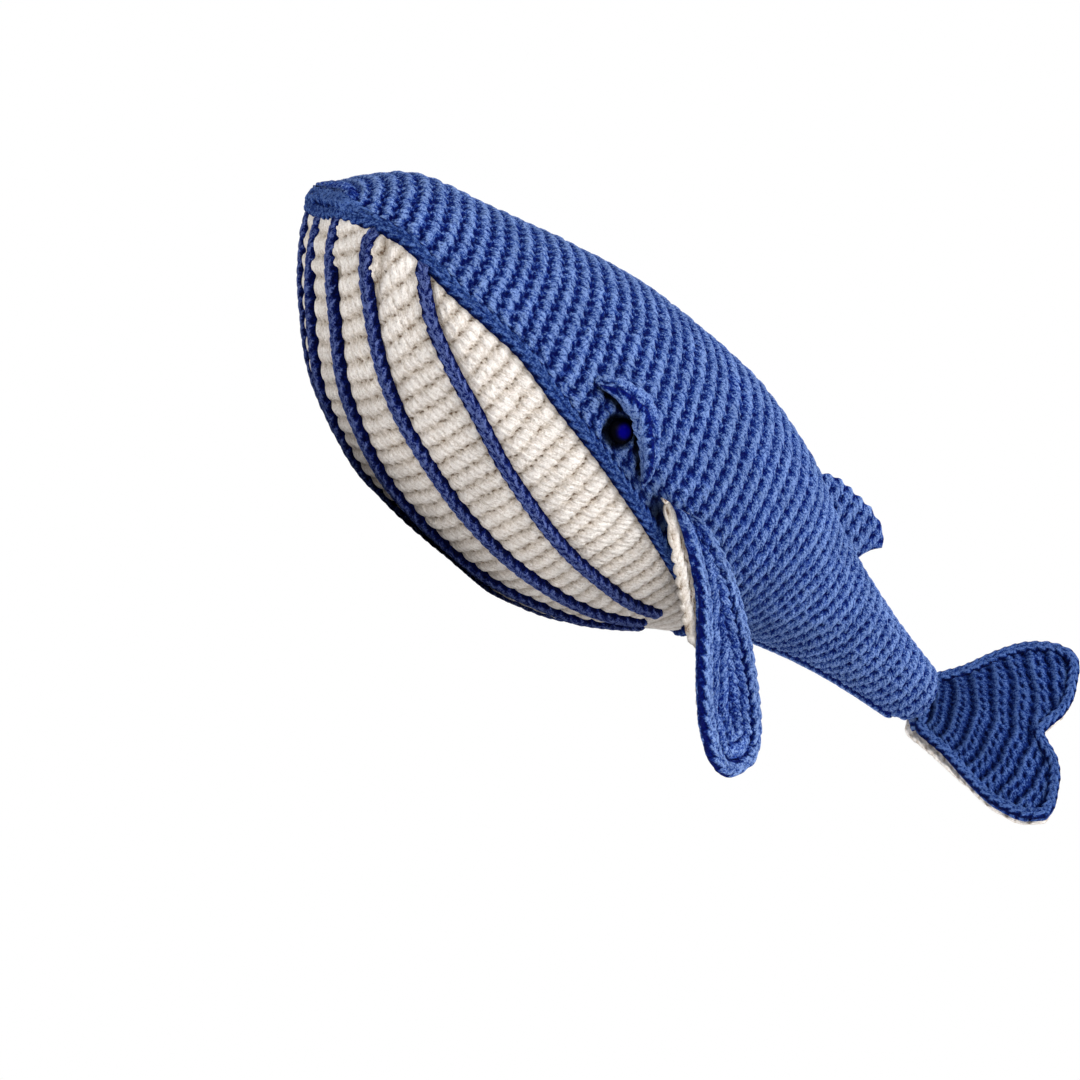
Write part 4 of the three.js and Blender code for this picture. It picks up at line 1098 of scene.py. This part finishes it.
def dorsal_fin():
    """A small fin worked onto the back, thick at its foot and leaning towards the tail."""
    s, t = np.meshgrid(np.linspace(0, 1, 110), np.linspace(0, 1, 56), indexing="ij")
    foot = on_body(DORSAL_STATION + DORSAL_BASE * s, math.pi / 2, -0.3 + 0 * s)
    tall = smooth(DORSAL, 1, s) * DORSAL_HEIGHT
    rise = tall * t + 0.5 * t * np.cos(2 * math.pi * s * DORSAL_BASE / DORSAL_PITCH)
    taper = (1 - 0.5 * t) * (0.5 + 0.5 * np.sin(math.pi * np.minimum(s + 0.1, 0.6)))
    from_edge = np.minimum((1 - t) * tall, (1 - s) * DORSAL_BASE * 0.6)
    rounded = np.clip(from_edge / DORSAL_ROUND, 0, 1)
    thickness = DORSAL_THICKNESS * taper * np.sqrt(np.clip(1 - (1 - rounded) ** 2, 0.02, 1))
    lean = DORSAL_LEAN * s**3 * t**2
    u, rows = rise / STITCH, (s * DORSAL_BASE + lean) / DORSAL_PITCH + 0.3
    height = single_crochet(u, rows, seed=41, ridge=0.4, bridge=0.75, post=0.34)
    half = thickness / 2 + (height - 0.5) * 1.9 * np.clip(rounded * 1.5, 0.2, 1)
    left, right = (np.stack([foot[..., 0] + lean, y, foot[..., 2] + rise], -1) for y in (-half, half))
    piece = slab("back_fin", left, right, height, height, counts(u + 0.45 * rows, rows), BLUE, flip=True)
    low_point = on_body(DORSAL_STATION + DORSAL_BASE / 2, math.pi / 2, 0.0)
    out = outward(DORSAL_STATION + DORSAL_BASE / 2, math.pi / 2)
    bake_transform(piece)
    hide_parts("dorsal_fin")


inside = filling()
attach(inside, "body")
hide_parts("body_stuffing")
for side in ("left", "right"):
    button = eye(side)
    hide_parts(side + "_eye")
    lid, edge = eyelid(side)
    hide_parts(side + "_eyelid")
    for piece in (button, lid, edge):
        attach(piece, "body")
    washer = frame["nodes"][side + "_eye_washer"]
    washer.data.materials.clear()
    washer.data.materials.append(WASHER)
    fin(side)
fluke()
dorsal_fin()


# Camera: its place, right, up and back in the body's own frame, fitted to the photograph
CAMERA_PLACE = np.array([-160.6, -648.9, -82.2])
CAMERA_AXES = np.array([[0.7065, -0.3713, 0.6025], [-0.5629, 0.2212, 0.7964], [-0.429, -0.9018, -0.0527]])
SENSOR_WIDTH, FOCAL_PIXELS, PHOTO_PIXELS = 36, 1828.9, 1080


def photo_camera():
    """The camera at the photograph's viewing angle."""
    data = bpy.data.cameras.new("camera")
    camera = bpy.data.objects.new("camera", data)
    bpy.context.scene.collection.objects.link(camera)
    axes, place = turned_y(CAMERA_AXES, REST_PITCH), placed(CAMERA_PLACE)
    rows = [[*axes[:, k], place[k]] for k in range(3)]
    camera.matrix_world = Matrix(rows + [[0, 0, 0, 1]])
    data.sensor_width = SENSOR_WIDTH
    data.lens = SENSOR_WIDTH * FOCAL_PIXELS / PHOTO_PIXELS
    data.clip_start, data.clip_end = 0.01, 20
    bpy.context.scene.camera = camera


# Stage and light, metres
FLOOR_SIZE, FADE_START, FADE_END = 6, 0.35, 1.1
FLOOR_GREY, AMBIENT = 0.86, 0.56
AIM = Vector((0, 0, 0.06))


def stage():
    """A floor that is clear from beneath and runs out into the white background far from the object."""
    bpy.ops.mesh.primitive_grid_add(x_subdivisions=2, y_subdivisions=2, size=FLOOR_SIZE, location=(0, 0, 0))
    floor = bpy.context.active_object
    floor.name = "floor"
    material, tree, shader = new_material("floor")
    feed(tree, shader, {"Base Color": (FLOOR_GREY, FLOOR_GREY, FLOOR_GREY, 1), "Roughness": 0.9})
    place = add(tree, "TexCoord").outputs["Object"]
    away = add(tree, "VectorMath", {0: place}, operation="LENGTH").outputs["Value"]
    fade = {"Value": away, "From Min": FADE_START, "From Max": FADE_END}
    fade = add(tree, "MapRange", fade, interpolation_type="SMOOTHSTEP").outputs["Result"]
    seen = maths(tree, "MULTIPLY", fade, add(tree, "LightPath").outputs["Is Camera Ray"])
    white = add(tree, "Emission").outputs["Emission"]
    above = add(tree, "MixShader", {"Fac": seen, 1: shader.outputs["BSDF"], 2: white}).outputs["Shader"]
    beneath = add(tree, "NewGeometry").outputs["Backfacing"]
    clear = add(tree, "BsdfTransparent").outputs["BSDF"]
    surface = add(tree, "MixShader", {"Fac": beneath, 1: above, 2: clear}).outputs["Shader"]
    feed(tree, tree.nodes["Material Output"], {"Surface": surface})
    floor.data.materials.append(material)


def world():
    """Even light, under a background that is plain white to the camera and in gloss and clear surfaces."""
    scene_world = bpy.data.worlds.new("world")
    bpy.context.scene.world = scene_world
    scene_world.use_nodes = True
    tree = scene_world.node_tree
    light = tree.nodes["Background"]
    feed(tree, light, {"Color": (1, 1, 1, 1), "Strength": AMBIENT})
    white = add(tree, "Background", {"Color": (1, 1, 1, 1), "Strength": 1}).outputs["Background"]
    ray = add(tree, "LightPath").outputs
    seen = maths(tree, "MAXIMUM", ray["Is Camera Ray"], ray["Is Glossy Ray"])
    seen = maths(tree, "MAXIMUM", seen, ray["Is Transmission Ray"])
    mix = add(tree, "MixShader", {"Fac": seen, 1: light.outputs["Background"], 2: white}).outputs["Shader"]
    feed(tree, tree.nodes["World Output"], {"Surface": mix})


def lamp(name, direction, distance, size, power):
    data = bpy.data.lights.new(name, "AREA")
    data.shape = "DISK"
    data.size = size
    data.energy = power
    obj = bpy.data.objects.new(name, data)
    bpy.context.scene.collection.objects.link(obj)
    obj.location = AIM + Vector(direction).normalized() * distance
    obj.rotation_mode = "QUATERNION"
    obj.rotation_quaternion = (obj.location - AIM).to_track_quat("Z", "Y")


photo_camera()
stage()
world()
lamp("key", (0.12, -0.62, 0.74), 1.6, 0.8, 26)
lamp("fill", (-0.6, -1.0, 0.1), 1.6, 1.2, 10)
lamp("back", (0.0, 1.0, 0.6), 1.6, 1.2, 14)
bpy.context.scene.view_settings.view_transform = "Standard"
